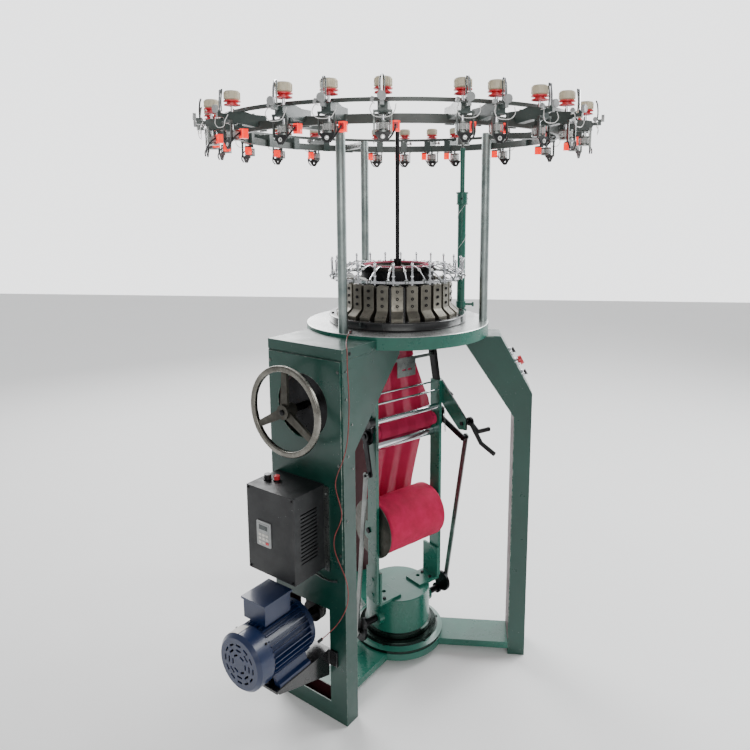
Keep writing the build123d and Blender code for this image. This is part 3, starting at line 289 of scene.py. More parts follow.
def glow(name, base, power):
    m, nt, b = mat(name)
    v = coords(nt)
    n1 = noise_tex(nt, v, 90, 4)
    col = ramp(nt, n1, [(0.3, tuple(c * 0.6 for c in base)), (0.7, base)])
    nt.links.new(col, b.inputs["Base Color"])
    nt.links.new(ramp(nt, n1, [(0.3, (1.0, 0.004, 0.002)), (0.56, (1.0, 0.02, 0.006)), (0.74, (1.0, 0.16, 0.05))]), b.inputs["Emission Color"])
    b.inputs["Emission Strength"].default_value = power
    b.inputs["Roughness"].default_value = 0.25
    bump(nt, b, noise_tex(nt, v, 400, 2), 0.1, 0.0005)
    return m


GREEN = paint("green_enamel", (0.0015, 0.046, 0.032), (0.001, 0.028, 0.020), (0.003, 0.068, 0.047), rough=0.34, coat=0.25)
GREENEDGE = paint("green_enamel_edge", (0.004, 0.08, 0.056), (0.002, 0.05, 0.036), (0.008, 0.11, 0.078), rough=0.4, coat=0.1, worn=0.5)
GREEN2 = paint("green_enamel_bright", (0.006, 0.115, 0.078), (0.003, 0.075, 0.052), (0.010, 0.15, 0.105), rough=0.30, coat=0.35)
MAROON = paint("red_oxide", (0.055, 0.010, 0.014), (0.03, 0.006, 0.008), (0.09, 0.02, 0.024), rough=0.55, coat=0.05)
STEELTOP = metal("ground_table", (0.82, 0.83, 0.82), (0.62, 0.64, 0.63), rough=0.32, scale=180, spots=0.25, rust=(0.35, 0.33, 0.28))
BLACKEN = paint("black_enamel", (0.004, 0.004, 0.005), (0.002, 0.002, 0.0025), (0.008, 0.008, 0.010), rough=0.20, coat=0.5, chip=(0.2, 0.2, 0.2), dirt=0.25)
PEWTER = metal("pewter_blocks", (0.26, 0.245, 0.205), (0.11, 0.105, 0.09), rough=0.42, scale=150, rust=(0.10, 0.09, 0.07), spots=0.4)
CHROME = metal("bright_chrome", (0.82, 0.83, 0.85), (0.66, 0.67, 0.70), rough=0.12, scale=200, bumps=0.03)
TUBE = metal("galvanised_tube", (0.42, 0.47, 0.455), (0.20, 0.25, 0.24), rough=0.36, brush=(1, 1, 0.08), scale=160, rust=(0.16, 0.15, 0.13), spots=0.6)
DARKBAR = paint("dark_bar", (0.05, 0.062, 0.056), (0.025, 0.03, 0.028), (0.09, 0.105, 0.095), rough=0.42, coat=0.2, chip=(0.35, 0.36, 0.34))
HAMMER = paint("feeder_grey", (0.035, 0.052, 0.047), (0.016, 0.026, 0.023), (0.065, 0.088, 0.08), rough=0.36, coat=0.35, peel=0.25)
GALV = metal("zinc_bracket", (0.27, 0.285, 0.275), (0.11, 0.12, 0.115), rough=0.32, scale=200, rust=(0.12, 0.11, 0.1), spots=0.4)
DARKSTEEL = metal("oiled_steel", (0.035, 0.035, 0.037), (0.012, 0.012, 0.013), rough=0.34, scale=130, rust=(0.05, 0.03, 0.02), spots=0.5)
GREASE = metal("greasy_iron", (0.022, 0.045, 0.036), (0.007, 0.014, 0.011), rough=0.2, scale=60, bumps=0.5, rust=(0.03, 0.02, 0.015), spots=0.6, metallic=0.7)
CREAM = plastic("cream_nylon", (0.60, 0.54, 0.40), rough=0.42, var=0.14)
REDPL = plastic("red_nylon", (0.62, 0.018, 0.03), rough=0.3, var=0.2, coat=0.2)
BLACKPL = plastic("black_nylon", (0.012, 0.012, 0.013), rough=0.35, var=0.4)
GRIP = plastic("dipped_rubber", (0.014, 0.014, 0.015), rough=0.55, var=0.4, bump_s=0.3)
LAMP = glow("stop_lamp", (0.8, 0.015, 0.008), 1.5)
BLUE = paint("motor_blue", (0.0025, 0.014, 0.062), (0.0015, 0.008, 0.034), (0.005, 0.022, 0.09), rough=0.34, coat=0.35, chip=(0.25, 0.27, 0.3))
BOXBLACK = paint("box_powder", (0.0045, 0.0055, 0.007), (0.003, 0.0035, 0.0045), (0.008, 0.009, 0.012), rough=0.45, coat=0.0, peel=0.25, chip=(0.18, 0.18, 0.19), dirt=0.3)
IRON = metal("machined_iron", (0.29, 0.28, 0.25), (0.12, 0.115, 0.10), rough=0.30, scale=90, rust=(0.14, 0.10, 0.07), spots=0.5, bumps=0.15)
IRONDARK = metal("cast_spokes", (0.13, 0.125, 0.108), (0.05, 0.048, 0.042), rough=0.48, scale=70, rust=(0.09, 0.06, 0.04), spots=0.6, bumps=0.4)
PINK = knit("pink_knit", (0.36, 0.003, 0.045), (0.20, 0.0015, 0.024), (0.52, 0.010, 0.085), sheen=0.25)
PINKROLL = knit("pink_knit_roll", (0.50, 0.002, 0.055), (0.33, 0.001, 0.032), (0.66, 0.006, 0.095), sheen=0.25, radial_roll=True)
PINKWEB = knit("pink_knit_web", (0.42, 0.004, 0.055), (0.30, 0.002, 0.038), (0.52, 0.018, 0.09), see=0.16, sheen=0.2)
YARN = knit("yarn_ring", (0.42, 0.04, 0.09), (0.2, 0.02, 0.04), (0.7, 0.35, 0.42), sheen=0.4)
REDWIRE = plastic("red_insulation", (0.20, 0.02, 0.018), rough=0.4, var=0.3)
PANEL = plastic("panel_grey", (0.34, 0.35, 0.35), rough=0.4, var=0.15)
PANELDARK = plastic("panel_dark", (0.05, 0.06, 0.06), rough=0.2, var=0.2)
LABEL = plastic("blank_plate", (0.62, 0.60, 0.56), rough=0.4, var=0.12)
PALE = plastic("pale_tube", (0.80, 0.80, 0.78), rough=0.3, var=0.06)
BELT = plastic("belt_rubber", (0.016, 0.016, 0.016), rough=0.7, var=0.4, bump_s=0.4)


# ---------------------------------------------------------------- mesh building
class MB:
    def __init__(s):
        s.v, s.f, s.m, s.sm = [], [], [], []

    def put(s, verts, faces, mi=0, smooth=True, M=None):
        o = len(s.v)
        for p in verts:
            p = Vector(p)
            s.v.append(M @ p if M is not None else p)
        for f in faces:
            s.f.append([o + i for i in f])
            s.m.append(mi)
            s.sm.append(smooth)

    def box(s, M, c, d, mi=0, ch=0.0006):
        """Box centre c, size d (metres) in frame M, with chamfered edges."""
        x, y, z = (k / 2 for k in d)
        ch = min(ch, x * 0.45, y * 0.45, z * 0.45)
        bm = bmesh.new()
        bmesh.ops.create_cube(bm, size=1)
        for v in bm.verts:
            v.co = Vector((v.co.x * d[0], v.co.y * d[1], v.co.z * d[2]))
        bmesh.ops.bevel(bm, geom=bm.edges[:], offset=ch, segments=1, affect="EDGES", profile=0.5)
        bm.verts.ensure_lookup_table()
        vs = [Vector(c) + v.co for v in bm.verts]
        fs = [[v.index for v in f.verts] for f in bm.faces]
        bm.free()
        s.put(vs, fs, mi, False, M)

    def rev(s, M, prof, n=24, mi=0, smooth=True):
        """Revolve (r, h) pairs about local z of M. Ends on the axis close the shape."""
        verts, faces, rings = [], [], []
        for r, h in prof:
            if r < 1e-7:
                rings.append([len(verts)])
                verts.append((0, 0, h))
            else:
                rings.append(list(range(len(verts), len(verts) + n)))
                for k in range(n):
                    a = 2 * pi * k / n
                    verts.append((r * cos(a), r * sin(a), h))
        for A, B in zip(rings[:-1], rings[1:]):
            if len(A) == 1 and len(B) == 1:
                continue
            for k in range(n):
                a0, a1 = A[k % len(A)], A[(k + 1) % len(A)]
                b0, b1 = B[k % len(B)], B[(k + 1) % len(B)]
                if len(A) == 1:
                    faces.append([a0, b1, b0][::-1])
                elif len(B) == 1:
                    faces.append([a0, a1, b0])
                else:
                    faces.append([a0, a1, b1, b0])
        s.put(verts, faces, mi, smooth, M)

    def cyl(s, p0, p1, r, n=20, mi=0, ch=None, r1=None):
        p0, p1 = Vector(p0), Vector(p1)
        d = p1 - p0
        L = d.length
        M = d.to_track_quat("Z", "Y").to_matrix().to_4x4()
        M.translation = p0
        r1 = r if r1 is None else r1
        ch = min(r, r1) * 0.12 if ch is None else ch
        s.rev(M, [(0, 0), (r - ch, 0), (r, ch), (r1, L - ch), (r1 - ch, L), (0, L)], n, mi)

    def bolt(s, p, d, r=0.005, h=0.004, mi=0, hexa=True):
        p, d = Vector(p), Vector(d).normalized()
        M = d.to_track_quat("Z", "Y").to_matrix().to_4x4()
        M.translation = p
        n = 6 if hexa else 18
        s.rev(M, [(0, 0), (r * 1.25, 0), (r * 1.25, 0.0008), (r, 0.0008), (r, h * 0.85), (r * 0.86, h), (0, h)], n, mi, smooth=not hexa)

    def tube(s, pts, r, n=8, mi=0, sub=6, closed=False, taper=None, straight=False):
        pts = [Vector(p) for p in pts]
        if not straight:
            out = []
            m = len(pts)
            rng_ = range(m if closed else m - 1)
            for i in rng_:
                p0 = pts[(i - 1) % m] if closed or i > 0 else pts[i] * 2 - pts[i + 1]
                p1, p2 = pts[i], pts[(i + 1) % m]
                p3 = pts[(i + 2) % m] if closed or i + 2 < m else p2 * 2 - p1
                for k in range(sub):
                    t = k / sub
                    out.append(0.5 * ((2 * p1) + (p2 - p0) * t + (2 * p0 - 5 * p1 + 4 * p2 - p3) * t * t + (3 * p1 - p0 - 3 * p2 + p3) * t ** 3))
            if not closed:
                out.append(pts[-1])
            pts = out
        m = len(pts)
        verts, faces = [], []
        tan = []
        for i in range(m):
            if closed:
                d = pts[(i + 1) % m] - pts[i - 1]
            else:
                d = pts[min(i + 1, m - 1)] - pts[max(i - 1, 0)]
            tan.append(d.normalized())
        nrm = tan[0].orthogonal().normalized()
        for i in range(m):
            nrm = (nrm - tan[i] * nrm.dot(tan[i])).normalized()
            bi = tan[i].cross(nrm)
            rr = r if taper is None else r * taper(i / max(m - 1, 1))
            for k in range(n):
                a = 2 * pi * k / n
                verts.append(pts[i] + nrm * cos(a) * rr + bi * sin(a) * rr)
        for i in range(m if closed else m - 1):
            for k in range(n):
                a, b2 = i * n + k, i * n + (k + 1) % n
                c, d = ((i + 1) % m) * n + (k + 1) % n, ((i + 1) % m) * n + k
                faces.append([a, b2, c, d])
        if not closed:
            faces.append(list(range(n))[::-1])
            faces.append([(m - 1) * n + k for k in range(n)])
        s.put(verts, faces, mi, True)

    def prism(s, M, pts, h0, h1, mi=0, smooth=False):
        """Flat outline (local x, y) extruded along local z from h0 to h1."""
        n = len(pts)
        verts = [(x, y, h0) for x, y in pts] + [(x, y, h1) for x, y in pts]
        faces = [list(range(n))[::-1], list(range(n, 2 * n))] + [[k, (k + 1) % n, n + (k + 1) % n, n + k] for k in range(n)]
        s.put(verts, faces, mi, smooth, M)

    def obj(s, name, mats, body=None, bevel=0.0, angle=35):
        me = bpy.data.meshes.new(name)
        me.from_pydata([tuple(v) for v in s.v], [], s.f)
        me.polygons.foreach_set("material_index", s.m)
        me.polygons.foreach_set("use_smooth", [True] * len(s.f))
        for m in mats:
            me.materials.append(m)
        bm = bmesh.new()
        bm.from_mesh(me)
        bmesh.ops.recalc_face_normals(bm, faces=bm.faces)
        bm.to_mesh(me)
        bm.free()
        me.set_sharp_from_angle(angle=radians(angle))
        o = bpy.data.objects.new(name, me)
        bpy.context.collection.objects.link(o)
        if bevel:
            md = o.modifiers.new("bev", "BEVEL")
            md.width, md.segments, md.limit_method, md.angle_limit = bevel, 2, "ANGLE", radians(40)
        if body:
            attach(o, body)
        return o


def clone(nodename, mats, body, pick=None, bevel=0.0008, seg=2, name=None, angle=32, replaces=True, edge=None):
    """A finished copy of a CAD node: welded, edge-bevelled, with a material picked for each face by its place."""
    src = frame["nodes"][nodename]
    me = src.data.copy()
    me.name = (name or nodename + "_skin")
    me.materials.clear()
    for m in mats:
        me.materials.append(m)
    if bevel and edge is not None:
        me.materials.append(edge)
    bm = bmesh.new()
    bm.from_mesh(me)
    bmesh.ops.remove_doubles(bm, verts=bm.verts, dist=2e-6)
    bm.faces.ensure_lookup_table()
    if pick:
        for f in bm.faces:
            f.material_index = pick(f.calc_center_median(), f.normal, f)
    else:
        for f in bm.faces:
            f.material_index = 0
    for f in bm.faces:
        f.smooth = True
    bm.to_mesh(me)
    bm.free()
    if "custom_normal" in me.attributes:
        me.attributes.remove(me.attributes["custom_normal"])
    me.validate()
    me.set_sharp_from_angle(angle=radians(angle))
    o = bpy.data.objects.new(name or nodename + "_skin", me)
    bpy.context.collection.objects.link(o)
    if bevel:
        md = o.modifiers.new("bev", "BEVEL")
        md.width, md.segments, md.limit_method, md.angle_limit = bevel, seg, "ANGLE", radians(40)
        md.harden_normals = False
        if edge is not None:
            md.material = len(me.materials) - 1
    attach(o, body)
    if replaces:
        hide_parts(nodename)
    return o


def assign(nodename, m):
    o = frame["nodes"][nodename]
    for s_ in o.material_slots:
        s_.link = "OBJECT"
        s_.material = m


# ---------------------------------------------------------------- signal wire (the one cord)
WIRE = [(303, -30, 1256), (338, -50, 1256), (385, -82, 1252), (428, -116, 1249), (455, -142, 1236), (457, -143, 1185), (446, -138, 1130), (444, -138, 1072),
        (449, -139, 1012), (458, -141, 957), (474, -137, 905), (482, -119, 862), (481, -108, 822), (478, -121, 776),
        (476, -133, 736), (477, -121, 697), (478, -100, 657), (478, -97, 613), (476, -118, 569), (473, -139, 529),
        (466, -144, 482), (468, -141, 433), (480, -124, 387), (496, -99, 347), (516, -76, 322)]
wpts = [W(AZ_A, r, -u, z) for r, u, z in WIRE]
cu = bpy.data.curves.new("signal_wire_line", "CURVE")
cu.dimensions = "3D"
sp = cu.splines.new("NURBS")
sp.points.add(len(wpts) - 1)
for p, w in zip(sp.points, wpts):
    p.co = (*w, 1)
sp.order_u = 3
sp.use_endpoint_u = True
cu.resolution_u = 10
cu.bevel_depth = 0.0015
cu.bevel_resolution = 3
wire = bpy.data.objects.new("signal_wire_line", cu)
bpy.context.collection.objects.link(wire)
cu.materials.append(REDWIRE)
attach(wire, "frame")
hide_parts("signal_wire")

# ---------------------------------------------------------------- nodes, bodies, local coordinates
REC = frame["record"]
BODY = {n: b for b, ns in REC["behaviour"]["bodies"].items() for n in ns}
FEEDERS = [-167.0, -151.0, -133.4, -113.4, -101.0, -88.0, -69.2, -60.3, -46.5, -33.9, -12.0,
           9.0, 29.0, 51.0, 71.9, 81.3, 92.3, 103.4, 129.0, 145.0, 161.0, 177.0]


def LC(az, p):
    a = radians(az)
    return ((p.x * cos(a) + p.y * sin(a)) * 1000, (-p.x * sin(a) + p.y * cos(a)) * 1000, p.z * 1000)


def near_feeder(p):
    a = math.degrees(atan2(p.y, p.x))
    return min(FEEDERS, key=lambda f: abs((a - f + 180) % 360 - 180))


def skin(nodename, mats, pick=None, bevel=0.0008, seg=2, angle=32, edge=None):
    return clone(nodename, mats, BODY[nodename], pick, bevel, seg, angle=angle, edge=edge)


# drive leg
def pick_casing(p, n, f):
    r, t, z = LC(AZ_A, p)
    if -173 < t < 125 and 409 < r < 459 and z < 1200:
        return 1
    if r < 409 and -173 < t < 125 and z > 1000:
        return 1
    return 0


skin("leg_a_casing", [GREEN, MAROON], pick_casing, bevel=0.0022, seg=3, edge=GREENEDGE)
skin("leg_a_covers", [GREEN], None, bevel=0.0018, seg=3, edge=GREENEDGE)


def pick_leg(p, n, f):
    az = 0 if p.y < 0.2 else 120
    r, t, z = LC(az, p)
    nr = n.x * cos(radians(az)) + n.y * sin(radians(az))
    return 1 if nr < -0.5 and z < 915 and r < 423 else 0


skin("plain_legs", [GREEN, MAROON], pick_leg, bevel=0.0025, seg=3, edge=GREENEDGE)
skin("base_beams", [GREEN2], bevel=0.002)
skin("base_ring", [GREASE, GREEN2], lambda p, n, f: 1 if hypot(p.x, p.y) > 0.150 and p.z > 0.056 else 0, bevel=0.0015)
skin("table_bed", [STEELTOP, GREEN2], lambda p, n, f: 0 if n.z > 0.5 and p.z > 1.245 else 1, bevel=0.0012)
skin("cam_ring", [BLACKEN], bevel=0.0012)
skin("cam_blocks", [PEWTER], bevel=0.0009)
skin("feeder_ring", [CHROME], bevel=0.0005)
skin("ring_posts", [CHROME], bevel=0.0005)
skin("ring_brackets", [GALV], bevel=0.0006)
skin("columns", [TUBE, DARKBAR], lambda p, n, f: 1 if p.z > 1.862 and hypot(p.x, p.y) > 0.325 else 0, bevel=0.0010)
skin("creel_rail_lower", [DARKBAR], bevel=0.0012)
skin("creel_rail_upper", [DARKBAR], bevel=0.0008)


def pick_body(p, n, f):
    r, t, z = LC(near_feeder(p), p)
    if z < 1840 and r > 628:
        return 2
    if abs(t) > 18.5 and r > 629:
        return 1
    if hypot(r - 618, t) < 12 and n.z > 0.5 and z > 1913:
        return 1
    return 0


skin("feeder_bodies", [HAMMER, GALV, BLACKPL], pick_body, bevel=0.0007, seg=1)


def pick_stop(p, n, f):
    r, t, z = LC(near_feeder(p), p)
    if r < 616:
        return 0 if z < 1867.5 else 1
    if r > 665:
        return 3
    if z > 1921:
        return 2
    return 1


skin("feeder_stop_motions", [LAMP, HAMMER, CHROME, PANEL], pick_stop, bevel=0.0006, seg=1)


def pick_wheel(p, n, f):
    z = p.z * 1000
    if z > 1947:
        return 0
    if z > 1930.5:
        return 1
    if z > 1866.5:
        return 3
    return 2


skin("feeder_wheels", [CREAM, REDPL, GALV, CHROME], pick_wheel, bevel=0)
skin("drive_tube", [GREEN2], bevel=0.0012)
for n_ in ("main_bearing", "thrust_ring", "shaft_bush"):
    skin(n_, [DARKSTEEL], bevel=0.0008)
skin("pinion_bracket", [DARKSTEEL], bevel=0.0008)
skin("drive_belt", [BELT], bevel=0.0006)
skin("motor_body", [BLUE], bevel=0.0009, seg=2)
skin("motor_fan_cover", [BLUE], bevel=0.0010)
skin("motor_bracket", [BLACKEN, MAROON], lambda p, n, f: 0, bevel=0.0015)


def pick_inv(p, n, f):
    r, t, z = LC(AZ_A, p)
    if z > 811.2 and -102 < t < -74:
        return 3
    if t > 51.8 and r < 473:
        return 2
    if r > 602.2:
        return 1
    return 0


skin("inverter_box", [BOXBLACK, PANEL, GALV, REDPL], pick_inv, bevel=0.0010)
skin("button_collars", [CHROME], bevel=0.0008)
skin("fasteners", [DARKSTEEL], bevel=0.0003, seg=1)
skin("wire_clips", [BLACKPL], bevel=0.0005)
skin("needle_cylinder", [DARKSTEEL], bevel=0)
skin("main_gear", [GREASE], bevel=0.001)
skin("dial", [IRONDARK], bevel=0.0006)
skin("centre_rod", [DARKSTEEL], bevel=0.0006)


def pick_drum(p, n, f):
    return 0 if p.z > 0.10 else 1


skin("drum", [GREEN2, GREASE], pick_drum, bevel=0.0018, seg=3)
skin("drum_brackets", [GREEN2, DARKSTEEL], lambda p, n, f: 1 if 0.2335 < p.z < 0.2395 and not abs(LC(AZ_TD, p)[0]) > 134.5 else 0, bevel=0.0012)


def pick_tdf(p, n, f):
    x, y, z = LC(AZ_TD, p)
    if z > 1013 and abs(x) > 100:
        return 5
    if x > 165 and z > 925:
        return 2
    if abs(x) < 143.5:
        return 3 if abs(x) <= 43 and y < -46 and 1048 < z < 1120 else 1
    if x < -157 and 890 < z < 935:
        return 2
    if x > 156.2:
        return 4
    return 0


skin("take_down_frame", [GREEN2, CHROME, BLACKPL, GALV, DARKSTEEL, DARKSTEEL], pick_tdf, bevel=0.0010)
skin("creel_shaft", [GALV], bevel=0.0006)
skin("pinion_shaft", [DARKSTEEL], bevel=0.0006)
skin("main_shaft", [DARKSTEEL], bevel=0.0006)


def pick_hw(p, n, f):
    r, t, z = LC(AZ_A, p)
    return 0 if hypot(t + 33, z - 1043) > 117 else 1


skin("handwheel", [IRON, IRONDARK], pick_hw, bevel=0.0012, seg=3)
skin("motor_rotor", [DARKSTEEL], bevel=0.0006)
skin("speed_knob", [BLACKPL], bevel=0.0010)
skin("start_button", [BLACKPL], bevel=0.0008)
skin("stop_button", [REDPL], bevel=0.0015, seg=3)
skin("jog_button", [BLACKPL], bevel=0.0008)
skin("nip_roller", [PINK, DARKSTEEL], lambda p, n, f: 1 if abs(LC(AZ_TD, p)[0]) > 142.5 else 0, bevel=0.0006)
skin("steel_roller", [CHROME], bevel=0.0008)
skin("crank_shaft", [DARKSTEEL], bevel=0.0010)
skin("ratchet_lever_right", [DARKSTEEL], bevel=0.0010)
skin("ratchet_lever_left", [DARKSTEEL], bevel=0.0010)
skin("link_right", [GALV], bevel=0.0008)
skin("link_left", [GALV], bevel=0.0008)


def pick_rel(p, n, f):
    x, y, z = LC(AZ_TD, p)
    return 1 if hypot(y + 176, z - 872) < 20 else 0


skin("release_lever", [GRIP, DARKSTEEL], pick_rel, bevel=0)

# ---------------------------------------------------------------- knitted web
web = [(-2.5, 1204), (-5.5, 1160), (-9.5, 1110), (-14, 1055), (-20, 1000), (-29, 955), (-38, 915)]
web += [(-35 + 26.2 * cos(radians(q)), 862 + 26.2 * sin(radians(q))) for q in (164, 180, 195, 210, 225, 240, 255, 270, 284)]
web += [(-22 + 23.6 * cos(radians(q)), 812 + 23.6 * sin(radians(q))) for q in (84, 66, 48, 30, 13)]
web += [(1.4 + (73.6 - 1.4) * k / 8, 817 + (527.3 - 817) * k / 8) for k in range(1, 8)]
web += [(-25 + 101.6 * cos(radians(q)), 503 + 101.6 * sin(radians(q))) for q in (13.9, 2, -10, -24)]


def resample(pts, step):
    P = [Vector((p[0], p[1], 0)) for p in pts]
    out, acc = [P[0]], 0.0
    dens = []
    for i in range(len(P) - 1):
        p0 = P[i - 1] if i > 0 else P[i] * 2 - P[i + 1]
        p3 = P[i + 2] if i + 2 < len(P) else P[i + 1] * 2 - P[i]
        p1, p2 = P[i], P[i + 1]
        for k in range(12):
            t = k / 12
            dens.append(0.5 * ((2 * p1) + (p2 - p0) * t + (2 * p0 - 5 * p1 + 4 * p2 - p3) * t * t + (3 * p1 - p0 - 3 * p2 + p3) * t ** 3))
    dens.append(P[-1])
    L = [0.0]
    for a, b in zip(dens[:-1], dens[1:]):
        L.append(L[-1] + (b - a).length)
    n = max(int(L[-1] / step), 2)
    res, j = [], 0
    for k in range(n + 1):
        s_ = L[-1] * k / n
        while j < len(L) - 2 and L[j + 1] < s_:
            j += 1
        t = (s_ - L[j]) / max(L[j + 1] - L[j], 1e-9)
        res.append(dens[j].lerp(dens[j + 1], min(max(t, 0), 1)))
    return res, L[-1]


rows, web_len = resample(web, 7.0)
NCOL = 56


def half_w(z, s_):
    if s_ > 0.5:
        return 124.0
    if z > 1120:
        return 66.0
    if z > 940:
        k = (1120 - z) / 180
        return 66 + 58 * (k ** 1.15)
    return 124.0


verts, faces = [], []
for i, p in enumerate(rows):
    s_ = i / (len(rows) - 1)
    a, b = rows[max(i - 1, 0)], rows[min(i + 1, len(rows) - 1)]
    tdir = (b - a).normalized()
    nn = Vector((-tdir.y, tdir.x, 0))
    hw = half_w(p.y, s_)
    free = 1.0 if p.y > 925 else (max(0.0, min(1.0, (795 - p.y) / 60)) * max(0.0, min(1.0, (p.y - 535) / 60)) if p.y < 800 else 0.0)
    for k in range(NCOL + 1):
        u = -1 + 2 * k / NCOL
        x = u * hw
        if p.y < 800:
            # the edges of the free run draw in a little between the nip and the roll
            x *= 1 - 0.045 * sin(pi * max(0, min(1, (800 - p.y) / 270)))
        fold = 2.2 * sin(x * 0.055 + 1.3 * noise.noise(Vector((x * 0.01, p.y * 0.006, 0)))) + 2.4 * noise.noise(Vector((x * 0.028, p.y * 0.009, 4.0)))
        if p.y > 925:
            fold *= 0.55
        d = fold * free
        q = p + nn * d
        verts.append(T(x, q.x, q.y))
for i in range(len(rows) - 1):
    for k in range(NCOL):
        a = i * (NCOL + 1) + k
        faces.append((a, a + 1, a + NCOL + 2, a + NCOL + 1))
me = bpy.data.meshes.new("knitted_web")
me.from_pydata([tuple(v) for v in verts], [], faces)
me.polygons.foreach_set("use_smooth", [True] * len(faces))
me.materials.append(PINKWEB)
web_o = bpy.data.objects.new("knitted_web", me)
bpy.context.collection.objects.link(web_o)
sol = web_o.modifiers.new("thick", "SOLIDIFY")
sol.thickness, sol.offset = 0.0009, 0.0
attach(web_o, "cylinder")
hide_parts("fabric_web")

# ---------------------------------------------------------------- cloth roll
NA, NB_, RR, HALF = 112, 44, 99.2, 132.0
prof = []
for k in range(9):
    prof.append((14 + (RR - 12 - 14) * k / 8, -HALF + 1.6 * sin(k * 2.4)))
for k in range(1, 6):
    a = pi / 2 * k / 5
    prof.append((RR - 12 + 12 * sin(a), -HALF + 12 - 12 * cos(a)))
for k in range(1, NB_):
    prof.append((RR, -HALF + 12 + (2 * HALF - 24) * k / NB_))
for k in range(0, 6):
    a = pi / 2 * k / 5
    prof.append((RR - 12 + 12 * cos(a), HALF - 12 + 12 * sin(a)))
for k in range(7, -1, -1):
    prof.append((14 + (RR - 12 - 14) * k / 8, HALF + 1.6 * sin(k * 2.4)))
verts, faces = [], []
for i, (r, x) in enumerate(prof):
    for k in range(NA):
        a = 2 * pi * k / NA
        end = abs(x) > HALF - 3
        nz = noise.noise(Vector((x * 0.018, cos(a) * 1.6, sin(a) * 1.6)))
        rr = r + (0.0 if end else 0.9 * nz + 0.35 * sin(x * 0.11 + 2 * nz))
        if not end and abs(x) > HALF - 26:
            rr += 0.5 * sin(a * 7 + x)
        xx = x + (1.2 * sin(r * 0.9 + a) if end else 0)
        verts.append(T(xx, -25 + rr * cos(a), 503 + rr * sin(a)))
for i in range(len(prof) - 1):
    for k in range(NA):
        a, b = i * NA + k, i * NA + (k + 1) % NA
        faces.append((a, b, b + NA, a + NA))
me = bpy.data.meshes.new("cloth_wound")
me.from_pydata([tuple(v) for v in verts], [], faces)
me.polygons.foreach_set("use_smooth", [True] * len(faces))
bm = bmesh.new()
bm.from_mesh(me)
# fill the open end rings at the core so the shape is closed
loops = [e for e in bm.edges if e.is_boundary]
bmesh.ops.holes_fill(bm, edges=loops, sides=0)
bmesh.ops.recalc_face_normals(bm, faces=bm.faces)
bm.to_mesh(me)
bm.free()
me.materials.append(PINKROLL)
roll = bpy.data.objects.new("cloth_wound", me)
bpy.context.collection.objects.link(roll)
sub = roll.modifiers.new("sub", "SUBSURF")
sub.levels = sub.render_levels = 1
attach(roll, "winder")
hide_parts("cloth_roll")
b = MB()
b.cyl(T(-162, -25, 503), T(162, -25, 503), 0.010, 24, 0)
MD = FR(AZ_TD, 0, -25, 503)
b.rev(MD @ Matrix.Translation((0, 0, -0.142)), [(0.011, 0), (0.104, 0), (0.106, 0.0012), (0.106, 0.0048), (0.104, 0.006), (0.030, 0.006), (0.028, 0.008), (0.011, 0.008)], 64, 1)
for k in range(4):
    a = pi / 2 * k + 0.5
    b.bolt(MD @ Vector((0.024 * cos(a), 0.024 * sin(a), -0.142)), MD.to_3x3() @ Vector((0, 0, -1)), 0.0035, 0.003, 1)
b.rev(MD @ Matrix.Translation((0, 0, 0.1345)), [(0.011, 0), (0.026, 0), (0.027, 0.001), (0.027, 0.006), (0.011, 0.007)], 36, 1)
o = b.obj("roll_shaft_and_disc", [DARKSTEEL, IRONDARK], "winder")
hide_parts("cloth_roll")

# ---------------------------------------------------------------- head details
b = MB()
for k in range(192):
    a = 360 * k / 192
    b.put([W(a, 126.2, -0.55, 1425), W(a, 126.2, 0.55, 1425), W(a, 129.4, 0.55, 1425), W(a, 129.4, -0.55, 1425),
           W(a, 126.6, -0.45, 1446), W(a, 126.6, 0.45, 1446), W(a, 128.6, 0.45, 1447), W(a, 128.6, -0.45, 1447)],
          [[3, 2, 1, 0], [4, 5, 6, 7], [0, 1, 5, 4], [1, 2, 6, 5], [2, 3, 7, 6], [3, 0, 4, 7]], 0, False)
    b.tube([W(a, 127.5, 0, 1446), W(a, 127.7, 0, 1449), W(a, 129.4, 0, 1450.4), W(a, 131.0, 0, 1449), W(a, 130.6, 0, 1447)], 0.00042, 5, 1, 3)
b.obj("needles", [DARKSTEEL, CHROME], "cylinder")

b = MB()
for k in range(5):
    rr = 100 + 4.4 * k
    pts = []
    for j in range(60):
        a = 360 * j / 60
        pts.append(W(a, rr + 1.2 * noise.noise(Vector((j * 0.4, k * 3.1, 0))), 0, 1446 + 1.6 * noise.noise(Vector((j * 0.3, k, 7))) + (k % 2)))
    b.tube(pts, 0.0026, 7, k % 2, 2, closed=True)
b.obj("loop_ring", [YARN, PINK], "cylinder")

b = MB()
for i in range(24):
    az = -92.5 + 15 * i
    # yarn carrier: arm clamped to the guide ring, bent down to a finger beside the needles
    dz = 2.5 * rnd.uniform(-1, 1)
    b.tube([W(az, 236, 0, 1412), W(az, 222, 0, 1424 + dz), W(az, 192, 0, 1440 + dz), W(az, 160, 0, 1452 + dz), W(az, 141, 0, 1449), W(az, 135.5, 0, 1441)], 0.0022, 8, 0, 5, taper=lambda s_: 1.2 - 0.55 * s_)
    M = FR(az, 232, 0, 1409)
    b.box(M, (0, 0.001, 0), (0.012, 0.013, 0.013), 1, 0.0012)
    b.bolt(M @ Vector((0, 0.001, 0.0065)), M.to_3x3() @ Vector((0, 0, 1)), 0.0026, 0.0025, 0)
    # small ceramic eye on the finger
    Me = FR(az, 188, 0, 1444 + dz)
    b.rev(Me, [(0.0022, -0.003), (0.0046, -0.0026), (0.0052, 0), (0.0046, 0.0026), (0.0022, 0.003), (0.0018, 0), (0.0022, -0.003)], 14, 2)
b.obj("yarn_carriers", [CHROME, GALV, PALE], "frame")

